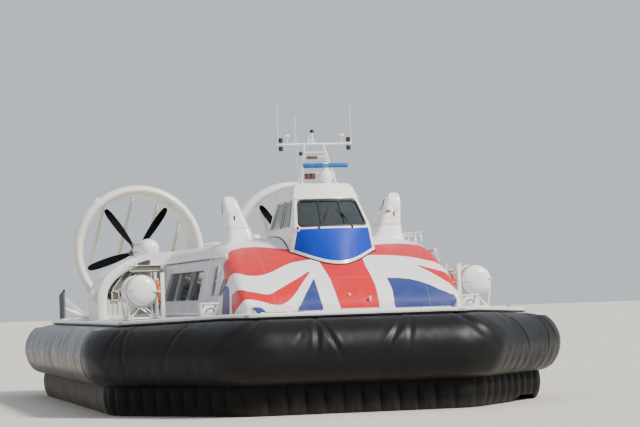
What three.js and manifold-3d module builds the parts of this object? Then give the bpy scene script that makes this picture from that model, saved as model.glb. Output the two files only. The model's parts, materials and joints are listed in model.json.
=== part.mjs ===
// A passenger hovercraft of about 80 seats, drawn at full size in millimetres.
// The bow points to -Y, +X is port and +Z is up. The origin is on the ground under the middle of the craft.
// It stands on the hem of its skirt: an inflated bag hangs all round the deck's edge, and a row of fingers hangs under it.
import * as THREE from "three";
import { mergeVertices, mergeGeometries } from "three/addons/utils/BufferGeometryUtils.js";
import Module from "manifold-3d";

const wasm = await Module();
wasm.setup();

// Driving dimensions
const DECK_TOP = 2470;
const DECK_THICK = 70;
const DECK_HALF = 5400;
const DECK_DROOP = 100;
const DECK_FLAT_HALF = 3150;
const HALF_LENGTH = 11850;
const BAG_OUT = 950;
const BOW_Y = -(HALF_LENGTH - BAG_OUT);
const STERN_Y = HALF_LENGTH - BAG_OUT;
const HULL_INSET = 700;
const HULL_BOTTOM = 1250;
const SKID_DEPTH = 130;
const SKIRT_DROOP_ABOVE = 2200;
const FINGER_TOP = 735;
const FINGER_PITCH = 460;
const SEAM = 1.5;
const BOW_SEAM_Y = -6500;
const GAP = 0.5;
const MOVING_GAP = 8;
const WALL = 80;
const WALL_LEAN = 0.21;
const DUCT_X = 2550;
const DUCT_Z = 4530;
const DUCT_FRONT = 8600;
const DUCT_BACK = 9850;
const DUCT_OUTER = 2120;
const DUCT_BORE = 1760;
const PROP_RADIUS = 1700;
const PROP_Y = 9150;
const RUDDER_CANT = THREE.MathUtils.degToRad(15);
const ROOF_TOP = 4500;
const THRUSTER_SPLIT = 4740;
const CANISTER_X = 4560;
const CANISTER_Y = -5100;
const CANISTER_Z = 3170;

// Plan of the deck's edge, port side, from bow to stern: x, y
const PLAN = [
  [2700, BOW_Y],
  [DECK_HALF, BOW_Y + 3500],
  [DECK_HALF, STERN_Y - 2300],
  [3700, STERN_Y],
];

// Section of the inflated bag: offset out from the deck's edge, z
const BAG_SECTION = [
  [-170, 2362],
  [60, 2352],
  [380, 2290],
  [700, 2090],
  [885, 1810],
  [BAG_OUT, 1500],
  [890, 1180],
  [740, 920],
  [560, 790],
  [380, FINGER_TOP + GAP],
  [-660, FINGER_TOP + GAP],
  [-660, 1700],
  [-660, 2292],
];

const paint = (colour, roughness, metalness) => new THREE.MeshStandardMaterial({ color: colour, roughness, metalness });
const MATERIALS = {
  white: paint(0xe9e7e0, 0.35, 0),
  flagRed: paint(0xc8282c, 0.35, 0),
  noseBlue: paint(0x2546a8, 0.3, 0),
  rubber: paint(0x1b1c1e, 0.5, 0),
  alloy: paint(0xb9bbbd, 0.45, 0.5),
  darkGrey: paint(0x3c3e40, 0.6, 0.2),
  glass: paint(0x2b3236, 0.08, 0),
  blade: paint(0x16181b, 0.4, 0),
  cream: paint(0xd9d3b4, 0.45, 0),
  radarBlue: paint(0x1f5fb4, 0.4, 0),
  seat: paint(0x28324a, 0.8, 0),
  antifoul: paint(0x8d9195, 0.6, 0.3),
};

// Geometry with positions only and its shared vertices merged
function plain(geometry) {
  const g = geometry.index ? geometry.toNonIndexed() : geometry.clone();
  const only = new THREE.BufferGeometry().setAttribute("position", g.getAttribute("position"));
  return mergeVertices(only, 1e-3);
}

function toSolid(geometry) {
  const g = plain(geometry);
  return new wasm.Manifold(
    new wasm.Mesh({
      numProp: 3,
      vertProperties: new Float32Array(g.attributes.position.array),
      triVerts: new Uint32Array(g.index.array),
    }),
  );
}

function toGeometry(solid) {
  const m = solid.getMesh();
  const positions = new Float32Array(m.numVert * 3);
  for (let i = 0; i < m.numVert; i++)
    positions.set(m.vertProperties.subarray(i * m.numProp, i * m.numProp + 3), i * 3);
  return new THREE.BufferGeometry()
    .setAttribute("position", new THREE.BufferAttribute(positions, 3))
    .setIndex(new THREE.BufferAttribute(new Uint32Array(m.triVerts), 1));
}

const join = (...shapes) => toGeometry(shapes.map(toSolid).reduce((a, b) => a.add(b)));
const cut = (shape, ...tools) => toGeometry(tools.map(toSolid).reduce((a, b) => a.subtract(b), toSolid(shape)));
const common = (a, b) => toGeometry(toSolid(a).intersect(toSolid(b)));

// The same shape on the other side of the craft
function mirrored(geometry) {
  const g = plain(geometry).applyMatrix4(new THREE.Matrix4().makeScale(-1, 1, 1));
  const index = g.index.array;
  for (let i = 0; i < index.length; i += 3) [index[i + 1], index[i + 2]] = [index[i + 2], index[i + 1]];
  return g;
}

function block(x0, x1, y0, y1, z0, z1) {
  return new THREE.BoxGeometry(x1 - x0, y1 - y0, z1 - z0).translate((x0 + x1) / 2, (y0 + y1) / 2, (z0 + z1) / 2);
}

function outline(points) {
  return new THREE.Shape(points.map(([a, b]) => new THREE.Vector2(a, b)));
}

// A flat outline of x, y points, standing from z0 to z1
function prismZ(points, z0, z1) {
  return new THREE.ExtrudeGeometry(outline(points), { depth: z1 - z0, bevelEnabled: false }).translate(0, 0, z0);
}

// An outline of x, z points that runs from y0 to y1
function prismY(points, y0, y1) {
  return new THREE.ExtrudeGeometry(outline(points), { depth: y1 - y0, bevelEnabled: false })
    .rotateX(Math.PI / 2)
    .translate(0, y1, 0);
}

// An outline of y, z points that runs from x0 to x1
function prismX(points, x0, x1) {
  return new THREE.ExtrudeGeometry(outline(points), { depth: x1 - x0, bevelEnabled: false })
    .rotateZ(Math.PI / 2)
    .rotateY(Math.PI / 2)
    .translate(x0, 0, 0);
}

// A round bar between two points
function bar(from, to, radius, sides = 8) {
  const a = new THREE.Vector3(...from);
  const b = new THREE.Vector3(...to);
  const along = b.clone().sub(a);
  const turn = new THREE.Quaternion().setFromUnitVectors(new THREE.Vector3(0, 1, 0), along.clone().normalize());
  return new THREE.CylinderGeometry(radius, radius, along.length(), sides)
    .applyQuaternion(turn)
    .translate(...a.add(b).multiplyScalar(0.5).toArray());
}

// A rounded rectangle outline about a centre
function roundedRect(cx, cy, width, height, radius, steps = 4) {
  const points = [];
  const corners = [
    [1, -1, -90],
    [1, 1, 0],
    [-1, 1, 90],
    [-1, -1, 180],
  ];
  for (const [sx, sy, start] of corners)
    for (let i = 0; i <= steps; i++) {
      const angle = THREE.MathUtils.degToRad(start + (90 * i) / steps);
      points.push([
        cx + sx * (width / 2 - radius) + radius * Math.cos(angle),
        cy + sy * (height / 2 - radius) + radius * Math.sin(angle),
      ]);
    }
  return points;
}

// A closed skin through sections of equally many points, with flat ends
function loft(sections) {
  const n = sections[0].length;
  const positions = sections.flat(2);
  const index = [];
  for (let s = 0; s + 1 < sections.length; s++)
    for (let i = 0; i < n; i++) {
      const j = (i + 1) % n;
      const a = s * n + i;
      const b = s * n + j;
      index.push(a, b, b + n, a, b + n, a + n);
    }
  const cap = (s, flip) => {
    const points = sections[s].map((p) => new THREE.Vector3(...p));
    const normal = new THREE.Vector3();
    points.forEach((p, i) => normal.add(p.clone().cross(points[(i + 1) % n])));
    normal.normalize();
    const side = new THREE.Vector3(...(Math.abs(normal.z) < 0.9 ? [0, 0, 1] : [1, 0, 0])).cross(normal).normalize();
    const up = normal.clone().cross(side);
    const flat = points.map((p) => new THREE.Vector2(p.dot(side), p.dot(up)));
    for (const [a, b, c] of THREE.ShapeUtils.triangulateShape(flat, []))
      index.push(...(flip ? [a, c, b] : [a, b, c]).map((k) => s * n + k));
  };
  cap(0, true);
  cap(sections.length - 1, false);
  const g = new THREE.BufferGeometry();
  g.setAttribute("position", new THREE.Float32BufferAttribute(positions, 3));
  g.setIndex(index);
  if (toSolid(g).volume() > 0) return g;
  for (let i = 0; i < index.length; i += 3) [index[i + 1], index[i + 2]] = [index[i + 2], index[i + 1]];
  g.setIndex(index);
  return g;
}

// Corners of the plan all round, clockwise from above, each with the direction that an offset moves it in
function planCorners() {
  const port = PLAN.map(([x, y]) => new THREE.Vector2(x, y));
  const starboard = PLAN.map(([x, y]) => new THREE.Vector2(-x, y)).reverse();
  const all = [...port, ...starboard];
  return all.map((p, i) => {
    const before = all[(i + all.length - 1) % all.length];
    const after = all[(i + 1) % all.length];
    const outwards = (a, b) => new THREE.Vector2(b.y - a.y, -(b.x - a.x)).normalize();
    const n0 = outwards(before, p);
    const n1 = outwards(p, after);
    const out = n0.clone().add(n1);
    return { at: p, out: out.divideScalar(1 + n0.dot(n1)), outBefore: n0, outAfter: n1 };
  });
}

const CORNERS = planCorners();
const offsetPoint = (corner, offset) => [corner.at.x + corner.out.x * offset, corner.at.y + corner.out.y * offset];
const planOffset = (offset) => CORNERS.map((c) => offsetPoint(c, offset));

// The height that the deck has lost by a given distance from the centreline
const droopAt = (x) => (DECK_DROOP * Math.max(0, Math.abs(x) - DECK_FLAT_HALF)) / (DECK_HALF - DECK_FLAT_HALF);

// Cut off whatever would reach below the top of the drooping deck
function onDeck(geometry) {
  const below = prismY(
    [
      [-DECK_HALF - 400, 1500],
      [DECK_HALF + 400, 1500],
      [DECK_HALF + 400, DECK_TOP - droopAt(DECK_HALF + 400) + GAP],
      [DECK_FLAT_HALF, DECK_TOP + GAP],
      [-DECK_FLAT_HALF, DECK_TOP + GAP],
      [-DECK_HALF - 400, DECK_TOP - droopAt(DECK_HALF + 400) + GAP],
    ],
    BOW_Y - 500,
    STERN_Y + 500,
  );
  return cut(geometry, below);
}

const craft = new THREE.Group();

function add(name, geometry, material, parent = craft) {
  const mesh = new THREE.Mesh(plain(geometry), MATERIALS[material]);
  mesh.name = name;
  parent.add(mesh);
  return mesh;
}

function addPair(name, geometry, material) {
  add(name + "_port", geometry, material);
  add(name + "_starboard", mirrored(geometry), material);
}

// A station of the skirt: a place on the deck's edge, and the move that an offset of 1 makes there
const mitred = (i) => ({ at: CORNERS[i].at, out: CORNERS[i].out });
const atSeam = (side) => ({
  at: new THREE.Vector2(side * DECK_HALF, BOW_SEAM_Y),
  out: new THREE.Vector2(side, 0),
});

// Three stations that take the skirt round a corner: before it, at it and after it
function rounded(i, reach, squeeze) {
  const { at, outBefore, outAfter } = CORNERS[i];
  const along = (out, way) => at.clone().add(new THREE.Vector2(-out.y, out.x).multiplyScalar(way * reach));
  return [
    { at: along(outBefore, -1), out: outBefore },
    { at, out: outBefore.clone().add(outAfter).normalize().multiplyScalar(squeeze) },
    { at: along(outAfter, 1), out: outAfter },
  ];
}

const BOW_CORNER = { reach: 350, squeeze: 0.96 };
const BOW_KINK = { reach: 500, squeeze: 0.98 };

// Skirt: bow, two sides and stern, each as the stations that it passes
const RUNS = [
  {
    name: "bow",
    stations: [
      atSeam(-1),
      ...rounded(6, BOW_CORNER.reach, BOW_CORNER.squeeze),
      ...rounded(7, BOW_KINK.reach, BOW_KINK.squeeze),
      ...rounded(0, BOW_KINK.reach, BOW_KINK.squeeze),
      ...rounded(1, BOW_CORNER.reach, BOW_CORNER.squeeze),
      atSeam(1),
    ],
  },
  { name: "port", stations: [atSeam(1), mitred(2)] },
  { name: "stern", stations: [mitred(2), mitred(3), mitred(4), mitred(5)] },
  { name: "starboard", stations: [mitred(5), atSeam(-1)] },
];

// A section at a station, pulled a little along the run at its ends so that two runs don't share a face
function sectionAt(run, place, points) {
  const last = run.stations.length - 1;
  const station = run.stations[place];
  const next = run.stations[place === 0 ? 1 : last - 1];
  const pull = place === 0 || place === last ? SEAM : 0;
  const along = next.at.clone().sub(station.at).normalize().multiplyScalar(pull);
  return points.map(([offset, z]) => [
    station.at.x + station.out.x * offset + along.x,
    station.at.y + station.out.y * offset + along.y,
    z - (z > SKIRT_DROOP_ABOVE ? droopAt(station.at.x) : 0),
  ]);
}

function addSkirtBags() {
  for (const run of RUNS)
    add(
      "skirt_bag_" + run.name,
      loft(run.stations.map((_, place) => sectionAt(run, place, BAG_SECTION))),
      "rubber",
    );
}

// Heights of the row of fingers, with its reach out and in from the deck's edge and the swell between two seams
const FINGER_LEVELS = [
  { z: FINGER_TOP, outer: 300, inner: -640, swell: 45 },
  { z: 420, outer: 300, inner: -560, swell: 75 },
  { z: 130, outer: 255, inner: -300, swell: 70 },
  { z: 0, outer: 215, inner: -150, swell: 40 },
];

// Points across one finger: share of its width, share of its swell
const FINGER_BULGE = [
  [0, 0],
  [0.22, 0.8],
  [0.5, 1],
  [0.78, 0.8],
];

// One run of fingers, each swelling outwards between two seams
function fingerRun(run) {
  const last = run.stations.length - 1;
  const rings = FINGER_LEVELS.map(({ z, outer, inner, swell }) => {
    const front = [];
    const back = run.stations.map((_, place) => sectionAt(run, place, [[inner, z]])[0]);
    for (let leg = 0; leg < last; leg++) {
      const a = new THREE.Vector3(...sectionAt(run, leg, [[outer, z]])[0]);
      const b = new THREE.Vector3(...sectionAt(run, leg + 1, [[outer, z]])[0]);
      const [p, q] = [run.stations[leg].at, run.stations[leg + 1].at];
      const out = new THREE.Vector3(q.y - p.y, p.x - q.x, 0).normalize();
      const count = Math.max(1, Math.round(p.distanceTo(q) / FINGER_PITCH));
      for (let i = 0; i < count; i++)
        for (const [share, bulge] of FINGER_BULGE)
          front.push(a.clone().lerp(b, (i + share) / count).addScaledVector(out, swell * bulge).toArray());
      if (leg === last - 1) front.push(b.toArray());
    }
    return [...front, ...back.reverse()];
  });
  return loft(rings);
}

function addFingers() {
  for (const run of RUNS) add("skirt_fingers_" + run.name, fingerRun(run), "rubber");
}

function addHull() {
  const ring = (offset, z) => planOffset(offset).map(([x, y]) => [x, y, z]);
  const top = DECK_TOP - DECK_DROOP - DECK_THICK - GAP;
  const hull = loft([
    ring(-HULL_INSET - 700, HULL_BOTTOM),
    ring(-HULL_INSET - 2 * GAP, HULL_BOTTOM + 450),
    ring(-HULL_INSET - 2 * GAP, top),
  ]);
  const crown = common(
    prismY(
      [
        [-DECK_HALF, top],
        [DECK_HALF, top],
        [DECK_FLAT_HALF, DECK_TOP - DECK_THICK - GAP],
        [-DECK_FLAT_HALF, DECK_TOP - DECK_THICK - GAP],
      ],
      BOW_Y,
      STERN_Y,
    ),
    prismZ(planOffset(-HULL_INSET - 2 * GAP), HULL_BOTTOM, DECK_TOP),
  );
  const skid = (x) => block(x - 230, x + 230, -7600, 7900, HULL_BOTTOM - SKID_DEPTH, HULL_BOTTOM + 20);
  add("hull_raft", join(hull, crown, skid(2300), skid(-2300)), "antifoul");
}

// Raised pads on the deck: where a ramp rests by the side door, and where a mooring cleat is bolted at the bow
const BOARDING_PAD = { x0: 3450, x1: 4350, y0: -7800, y1: -6900, rise: 20 };
const MOORING_PLATE = { x0: 2480, x1: 2640, y0: -10820, y1: -10660, rise: 25 };

function addDeck() {
  const side = DECK_TOP - droopAt(DECK_HALF + 200);
  const plate = common(
    prismY(
      [
        [-DECK_HALF - 200, side - DECK_THICK],
        [-DECK_FLAT_HALF, DECK_TOP - DECK_THICK],
        [DECK_FLAT_HALF, DECK_TOP - DECK_THICK],
        [DECK_HALF + 200, side - DECK_THICK],
        [DECK_HALF + 200, side],
        [DECK_FLAT_HALF, DECK_TOP],
        [-DECK_FLAT_HALF, DECK_TOP],
        [-DECK_HALF - 200, side],
      ],
      BOW_Y - 100,
      STERN_Y + 100,
    ),
    prismZ(planOffset(30), 2000, 3000),
  );
  const pad = (x0, x1, y0, y1, rise) => {
    const under = DECK_TOP - DECK_THICK / 2;
    const profile = [
      [x0, under - droopAt(x0)],
      [x1, under - droopAt(x1)],
      [x1, DECK_TOP - droopAt(x1) + rise],
      [x0, DECK_TOP - droopAt(x0) + rise],
    ];
    return prismY(profile, y0, y1);
  };
  const pads = [
    pad(BOARDING_PAD.x0, BOARDING_PAD.x1, BOARDING_PAD.y0, BOARDING_PAD.y1, BOARDING_PAD.rise),
    pad(MOORING_PLATE.x0, MOORING_PLATE.x1, MOORING_PLATE.y0, MOORING_PLATE.y1, MOORING_PLATE.rise),
  ];
  add("deck", join(plate, ...pads, ...pads.map(mirrored)), "alloy");
}

// Passenger cabin: stations from the bow back, with half width at the deck, height on the centreline and shoulder radius
const CABIN_STATIONS = [
  { y: -10520, half: 2500, top: 2640, shoulder: 60 },
  { y: -10480, half: 2690, top: 2740, shoulder: 90 },
  { y: -10300, half: 2830, top: 2960, shoulder: 150 },
  { y: -9900, half: 2910, top: 3240, shoulder: 220 },
  { y: -9300, half: 2970, top: 3590, shoulder: 300 },
  { y: -8600, half: 3020, top: 3930, shoulder: 380 },
  { y: -7900, half: 3060, top: 4200, shoulder: 430 },
  { y: -7200, half: 3090, top: 4380, shoulder: 450 },
  { y: -6500, half: 3100, top: 4470, shoulder: 450 },
  { y: -5600, half: 3100, top: ROOF_TOP, shoulder: 450 },
  { y: 1300, half: 3100, top: ROOF_TOP, shoulder: 450 },
];
const CABIN_FLOOR = DECK_TOP + GAP;
const CABIN_CROWN = 170;
const CABIN_FRONT_END = -8050;
const ROOF_HALF = 2300;
const CABIN_BACK = 1300;
const CORNICE_Z = 3960;
const SHOULDER_STEPS = 4;

// The cabin's outside, or its skin moved in by an inset
function cabinBody(inset) {
  const slope = inset * 1.25;
  const sections = CABIN_STATIONS.map(({ y, half, top, shoulder }, i) => {
    const w = half - inset * 1.02;
    const z = top - (y < -6500 ? slope : inset);
    const edge = z - (CABIN_CROWN * (top - CABIN_FLOOR)) / (ROOF_TOP - CABIN_FLOOR);
    const floor = CABIN_FLOOR - (inset ? 50 : 0);
    const r = Math.min(shoulder, (edge - floor) * 0.9);
    const start = edge - r;
    const wallAt = (height) => w - WALL_LEAN * (height - CABIN_FLOOR);
    const x = wallAt(start);
    const halfSection = [[wallAt(floor), floor]];
    for (let k = 0; k <= SHOULDER_STEPS; k++) {
      const angle = (Math.PI / 2) * (k / SHOULDER_STEPS);
      halfSection.push([x - r * (1 - Math.cos(angle)), start + r * Math.sin(angle)]);
    }
    halfSection.push([(x - r) * 0.5, edge + (z - edge) * 0.8]);
    const mirror = halfSection.map(([a, b]) => [-a, b]).reverse();
    const shift = i === 0 ? inset * 2 : i === 1 ? inset * 1.6 : 0;
    return [...halfSection, [0, z], ...mirror].map(([a, b]) => [a, y + shift, b]);
  });
  return loft(sections);
}

// Cockpit: levels from below upwards, with half width and the front and back on the side wall
const COCKPIT_LEVELS = [
  { z: 3350, half: 1250, front: -9200, back: -4800 },
  { z: 4030, half: 1120, front: -8870, back: -4850 },
  { z: 4640, half: 1000, front: -8450, back: -5040 },
  { z: 5380, half: 850, front: -7740, back: -5400 },
  { z: 5660, half: 800, front: -7530, back: -5380 },
  { z: 5800, half: 700, front: -7380, back: -5290 },
];
const NOSE_SWEEP = 230;
const COCKPIT_SPLIT = 5385;
const COCKPIT_WALL = 70;

function cockpitBody(inset) {
  return loft(
    COCKPIT_LEVELS.map(({ z, half, front, back }, i) => {
      const w = half - inset;
      const f = front + inset * 1.3;
      const b = back - inset;
      const level = i === COCKPIT_LEVELS.length - 1 ? z - inset : z - (i ? 0 : inset);
      const port = [
        [w - 60, b],
        [w, b - 60],
        [w, f + 40],
        [w - 60, f - 25],
        [w * 0.55, f - NOSE_SWEEP * 0.62],
      ];
      const starboard = port.map(([x, y]) => [-x, y]).reverse();
      return [...port, [0, f - NOSE_SWEEP], ...starboard].map(([x, y]) => [x, y, level]);
    }),
  );
}

// Cabin side windows, whose ends lean forward: y of the front and back end at the sill and at the head
const WINDOW_SILL = 2870;
const WINDOW_HEAD = 3650;
const WINDOWS = [
  { sill: [-5260, -3280], head: [-5410, -3760] },
  { sill: [-3200, -1060], head: [-3680, -1410] },
  { sill: [-980, 730], head: [-1330, 190] },
];
const WINDOW_STRIP = { sill: [-5260, 730], head: [-5410, 190] };
const STRIP_OVERLAP = 40;
// The door and its pane: y and height up the leaning wall
const DOOR = { front: -7850, back: -6850, low: 70, high: 1490, radius: 90 };
const DOOR_PANE = { front: -7560, back: -7140, low: 530, high: 1255, radius: 70 };
const DOOR_HINGE = { x: 2942, y: DOOR.back - MOVING_GAP, z: 3200 };
const DOOR_SWING_GAP = 6;
const WALL_ANGLE = Math.atan(WALL_LEAN);
const WALL_FOOT = 3092;

// A tool through the port wall for one window, made larger all round by a margin
function windowTool({ sill, head }, margin = 0) {
  const high = WINDOW_HEAD - WINDOW_SILL;
  const wide = sill[1] - sill[0];
  const points = roundedRect(wide / 2, high / 2, wide + 2 * margin, high + 2 * margin, 70 + margin, 2).map(([a, b]) => {
    const front = sill[0] + ((head[0] - sill[0]) * b) / high;
    const back = sill[1] + ((head[1] - sill[1]) * b) / high;
    return [front + ((back - front) * a) / wide, WINDOW_SILL + b];
  });
  return prismX(points, 1200, 4200);
}

// A prism square to the port wall through an outline on it, made smaller all round by a margin
function wallTool({ front, back, low, high, radius }, margin = 0) {
  return prismX(
    roundedRect((front + back) / 2, (low + high) / 2, back - front - 2 * margin, high - low - 2 * margin, radius, 2),
    -700,
    700,
  )
    .rotateY(-WALL_ANGLE)
    .translate(WALL_FOOT, 0, CABIN_FLOOR);
}

function addCabin() {
  const outer = cabinBody(0);
  const inner = cabinBody(WALL);
  const shell = cut(outer, inner);
  const cockpitWell = block(-780, 780, -8650, -5500, 3000, 5000);
  const underCockpit = cockpitBody(-GAP);
  const front = common(shell, block(-4000, 4000, -12000, CABIN_FRONT_END, 2000, 6000));
  add("cabin_front", cut(front, cockpitWell, underCockpit), "flagRed");

  const roofCut = join(
    block(-4000, 4000, CABIN_FRONT_END + GAP, CABIN_BACK, CORNICE_Z + GAP, 6000),
    block(-ROOF_HALF, ROOF_HALF, CABIN_FRONT_END + GAP, CABIN_BACK, 3500, 6000),
  );
  const roof = cut(common(shell, roofCut), cockpitWell, underCockpit);
  add("cabin_roof", roof, "white");

  let side = common(shell, block(ROOF_HALF + GAP, 4000, CABIN_FRONT_END + GAP, CABIN_BACK, 2000, CORNICE_Z));
  for (const window of WINDOWS) side = cut(side, windowTool(window));
  addPair("cabin_side", cut(side, wallTool(DOOR)), "alloy");

  const strip = windowTool(WINDOW_STRIP, STRIP_OVERLAP);
  addPair("cabin_glass", common(cut(cabinBody(WALL + GAP), cabinBody(WALL + 14)), strip), "glass");

  const back = common(inner, block(-4000, 4000, CABIN_BACK - WALL, CABIN_BACK, CABIN_FLOOR, 6000));
  const bulkhead = cut(
    common(back, cabinBody(WALL + GAP)),
    prismY(roundedRect(0, 3420, 760, 1720, 90, 2), CABIN_BACK - 200, CABIN_BACK + 200),
  );
  add("cabin_bulkhead", bulkhead, "alloy");

  const reach = DOOR.back - DOOR.front - MOVING_GAP - DOOR_SWING_GAP;
  const swing = new THREE.CylinderGeometry(reach, reach, 4000, 72)
    .rotateX(Math.PI / 2)
    .rotateY(-WALL_ANGLE)
    .translate(DOOR_HINGE.x, DOOR_HINGE.y, DOOR_HINGE.z);
  const leaf = common(common(shell, wallTool(DOOR, MOVING_GAP)), swing);
  addPair("door", cut(leaf, wallTool(DOOR_PANE)), "alloy");
}

// Rows of seats on a floor plate, two blocks with an aisle between them
function addSeats() {
  const floor = block(-2700, 2700, -7000, 900, CABIN_FLOOR + GAP, CABIN_FLOOR + 30);
  const pieces = [];
  const rows = 9;
  for (let i = 0; i < rows; i++) {
    const y = -6500 + i * 830;
    for (const side of [1, -1]) {
      const x0 = side > 0 ? 380 : -2480;
      const x1 = side > 0 ? 2480 : -380;
      pieces.push(block(x0, x1, y, y + 430, CABIN_FLOOR + 20, CABIN_FLOOR + 440));
      pieces.push(block(x0, x1, y + 430 - 20, y + 530, CABIN_FLOOR + 300, CABIN_FLOOR + 1080));
    }
  }
  add("cabin_seats", join(floor, ...pieces), "seat");
}

function addCockpit() {
  const outer = cockpitBody(0);
  const shell = cut(outer, cockpitBody(COCKPIT_WALL));
  const aboveCabin = cut(shell, cabinBody(-GAP));
  const low = block(-2000, 2000, -10000, -4000, 3000, COCKPIT_SPLIT);
  const high = block(-2000, 2000, -10000, -4000, COCKPIT_SPLIT + GAP, 6500);
  const screenOutline = (grow) => [
    [-925 - grow, 4670 - grow],
    [925 + grow, 4670 - grow],
    [945 + grow, 4730],
    [815 + grow, 5310],
    [770 + grow, 5350 + grow],
    [-770 - grow, 5350 + grow],
    [-815 - grow, 5310],
    [-945 - grow, 4730],
  ];
  const screenTool = (grow) => prismY(screenOutline(grow), -9500, -7350);
  const sideWindow = [
    [-7800, 4690],
    [-5300, 4720],
    [-5800, 5340],
    [-7560, 5320],
  ];
  const sideBar = [
    [-6690, 4500],
    [-6610, 4500],
    [-6730, 5400],
    [-6810, 5400],
  ];
  const sideHole = cut(prismX(sideWindow, 500, 1500), prismX(sideBar, 400, 1600));
  const body = cut(common(aboveCabin, low), screenTool(0), sideHole, mirrored(sideHole));
  add("cockpit_body", body, "noseBlue");
  add("cockpit_roof", common(aboveCabin, high), "white");
  const layer = (from, to) => cut(cockpitBody(from), cockpitBody(to));
  add("windscreen", common(layer(20, 45), screenTool(-GAP)), "glass");

  const top = 3620;
  const crew = [block(-620, 620, -8250, -5900, top - 60, top), block(-620, 620, -8250, -7300, CABIN_FLOOR + GAP, top)];
  crew.push(
    loft([
      [
        [-600, -8300, top - 30],
        [600, -8300, top - 30],
        [600, -7850, top - 30],
        [-600, -7850, top - 30],
      ],
      [
        [-560, -8150, top + 840],
        [560, -8150, top + 840],
        [560, -7780, top + 740],
        [-560, -7780, top + 740],
      ],
    ]),
  );
  for (const x of [-330, 330]) {
    crew.push(block(x - 60, x + 60, -7060, -6940, top - 20, top + 420));
    crew.push(block(x - 230, x + 230, -7230, -6760, top + 400, top + 500));
    crew.push(block(x - 220, x + 220, -6820, -6700, top + 420, top + 1180));
  }
  add("cockpit_seats", join(...crew), "seat");
}

function addMast() {
  const roof = COCKPIT_LEVELS.at(-1).z + GAP;
  const armZ = 6900;
  const armMid = 65;
  const legs = [
    { foot: 655, top: 290 },
    { foot: -300, top: -220 },
  ];
  const pieces = [
    bar([armMid - 1000, -6330, armZ], [armMid + 1000, -6330, armZ], 28),
    block(-400, 690, -6560, -5750, roof, roof + 30),
    bar([0, -6330, armZ], [0, -6330, armZ + 330], 22),
    new THREE.SphereGeometry(60, 10, 6).translate(0, -6330, armZ + 350),
    bar([-290, -6315, 6560], [470, -6315, 6560], 18, 6),
    bar([-280, -6325, 6680], [420, -6325, 6680], 18, 6),
  ];
  for (const { foot, top } of legs) {
    pieces.push(bar([foot, -6200, roof + 10], [top, -6326, armZ - 7], 30));
    pieces.push(bar([foot, -5800, roof + 10], [top, -6312, armZ - 117], 20));
  }
  for (const side of [1, -1]) {
    pieces.push(bar([armMid + side * 985, -6330, armZ - 10], [armMid + side * 985, -6330, 8020], 9, 6));
    for (const dz of [-110, 110])
      pieces.push(
        new THREE.CylinderGeometry(60, 60, 120, 10)
          .rotateX(Math.PI / 2)
          .translate(armMid + side * 915, -6330, armZ + dz),
        bar([armMid + side * 915, -6330, armZ - dz * 0.2], [armMid + side * 915, -6330, armZ + dz], 20, 6),
      );
    pieces.push(bar([side * 740, -6330, armZ], [side * 740, -6330, armZ + 210], 12, 6));
    pieces.push(new THREE.CylinderGeometry(75, 60, 50, 12).rotateX(Math.PI / 2).translate(side * 740, -6330, armZ + 220));
  }
  pieces.push(bar([-490, -6330, armZ], [-490, -6330, 7650], 9, 6));
  pieces.push(
    new THREE.LatheGeometry(
      [
        [0, 0],
        [118, 0],
        [136, 60],
        [136, 200],
        [110, 300],
        [55, 350],
        [0, 362],
      ].map(([r, h]) => new THREE.Vector2(r, h)),
      14,
    )
      .rotateX(Math.PI / 2)
      .translate(255, -6600, roof + 20),
  );
  const pedestal = new THREE.CylinderGeometry(75, 95, 420, 12).rotateX(Math.PI / 2).translate(190, -7000, roof + 210);
  const foot = block(60, 400, -7130, -6500, roof, roof + 25);
  add("mast_frame", join(...pieces, pedestal, foot), "white");
  const barZ = roof + 420 + MOVING_GAP;
  const scanner = prismX(
    [
      [-7070, barZ + 40],
      [-7040, barZ],
      [-6960, barZ],
      [-6930, barZ + 40],
      [-6940, barZ + 110],
      [-7000, barZ + 130],
      [-7060, barZ + 110],
    ],
    190 - 590,
    190 + 590,
  );
  add("radar_scanner", scanner, "radarBlue");
}

// A post through levels, each with its sides and its ends, whose corners are rounded off
function roundedPost(levels, count = 24, power = 0.45) {
  return loft(
    levels.map(({ z, inner, outer, front, back }) =>
      Array.from({ length: count }, (_, i) => {
        const c = Math.cos((2 * Math.PI * (i + 0.5)) / count);
        const s = Math.sin((2 * Math.PI * (i + 0.5)) / count);
        return [
          (inner + outer) / 2 + ((outer - inner) / 2) * Math.sign(c) * Math.abs(c) ** power,
          (front + back) / 2 + ((back - front) / 2) * Math.sign(s) * Math.abs(s) ** power,
          z,
        ];
      }),
    ),
  );
}

// Bow thruster: a fixed fairing on the roof, and an elbow above it that turns. Both nozzles point to starboard at rest
const FAIRING_LEVELS = [
  { z: ROOF_TOP - 350, inner: 1480, outer: 2480, front: -6600, back: -5180 },
  { z: ROOF_TOP - 60, inner: 1590, outer: 2400, front: -6520, back: -5300 },
  { z: THRUSTER_SPLIT, inner: 1740, outer: 2370, front: -6420, back: -5440 },
];
const HEAD_LEVELS = [
  { z: THRUSTER_SPLIT + MOVING_GAP, inner: 1745, outer: 2365, front: -6410, back: -5450 },
  { z: THRUSTER_SPLIT + 330, inner: 1870, outer: 2375, front: -6330, back: -5560 },
  { z: THRUSTER_SPLIT + 600, inner: 1950, outer: 2385, front: -6250, back: -5680 },
  { z: THRUSTER_SPLIT + 760, inner: 2000, outer: 2375, front: -6160, back: -5800 },
  { z: THRUSTER_SPLIT + 830, inner: 2080, outer: 2310, front: -6080, back: -5900 },
];
const NOZZLE = { z: THRUSTER_SPLIT + 510, y: -5990, radius: 150, stretch: 1.25, depth: 260 };

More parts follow.
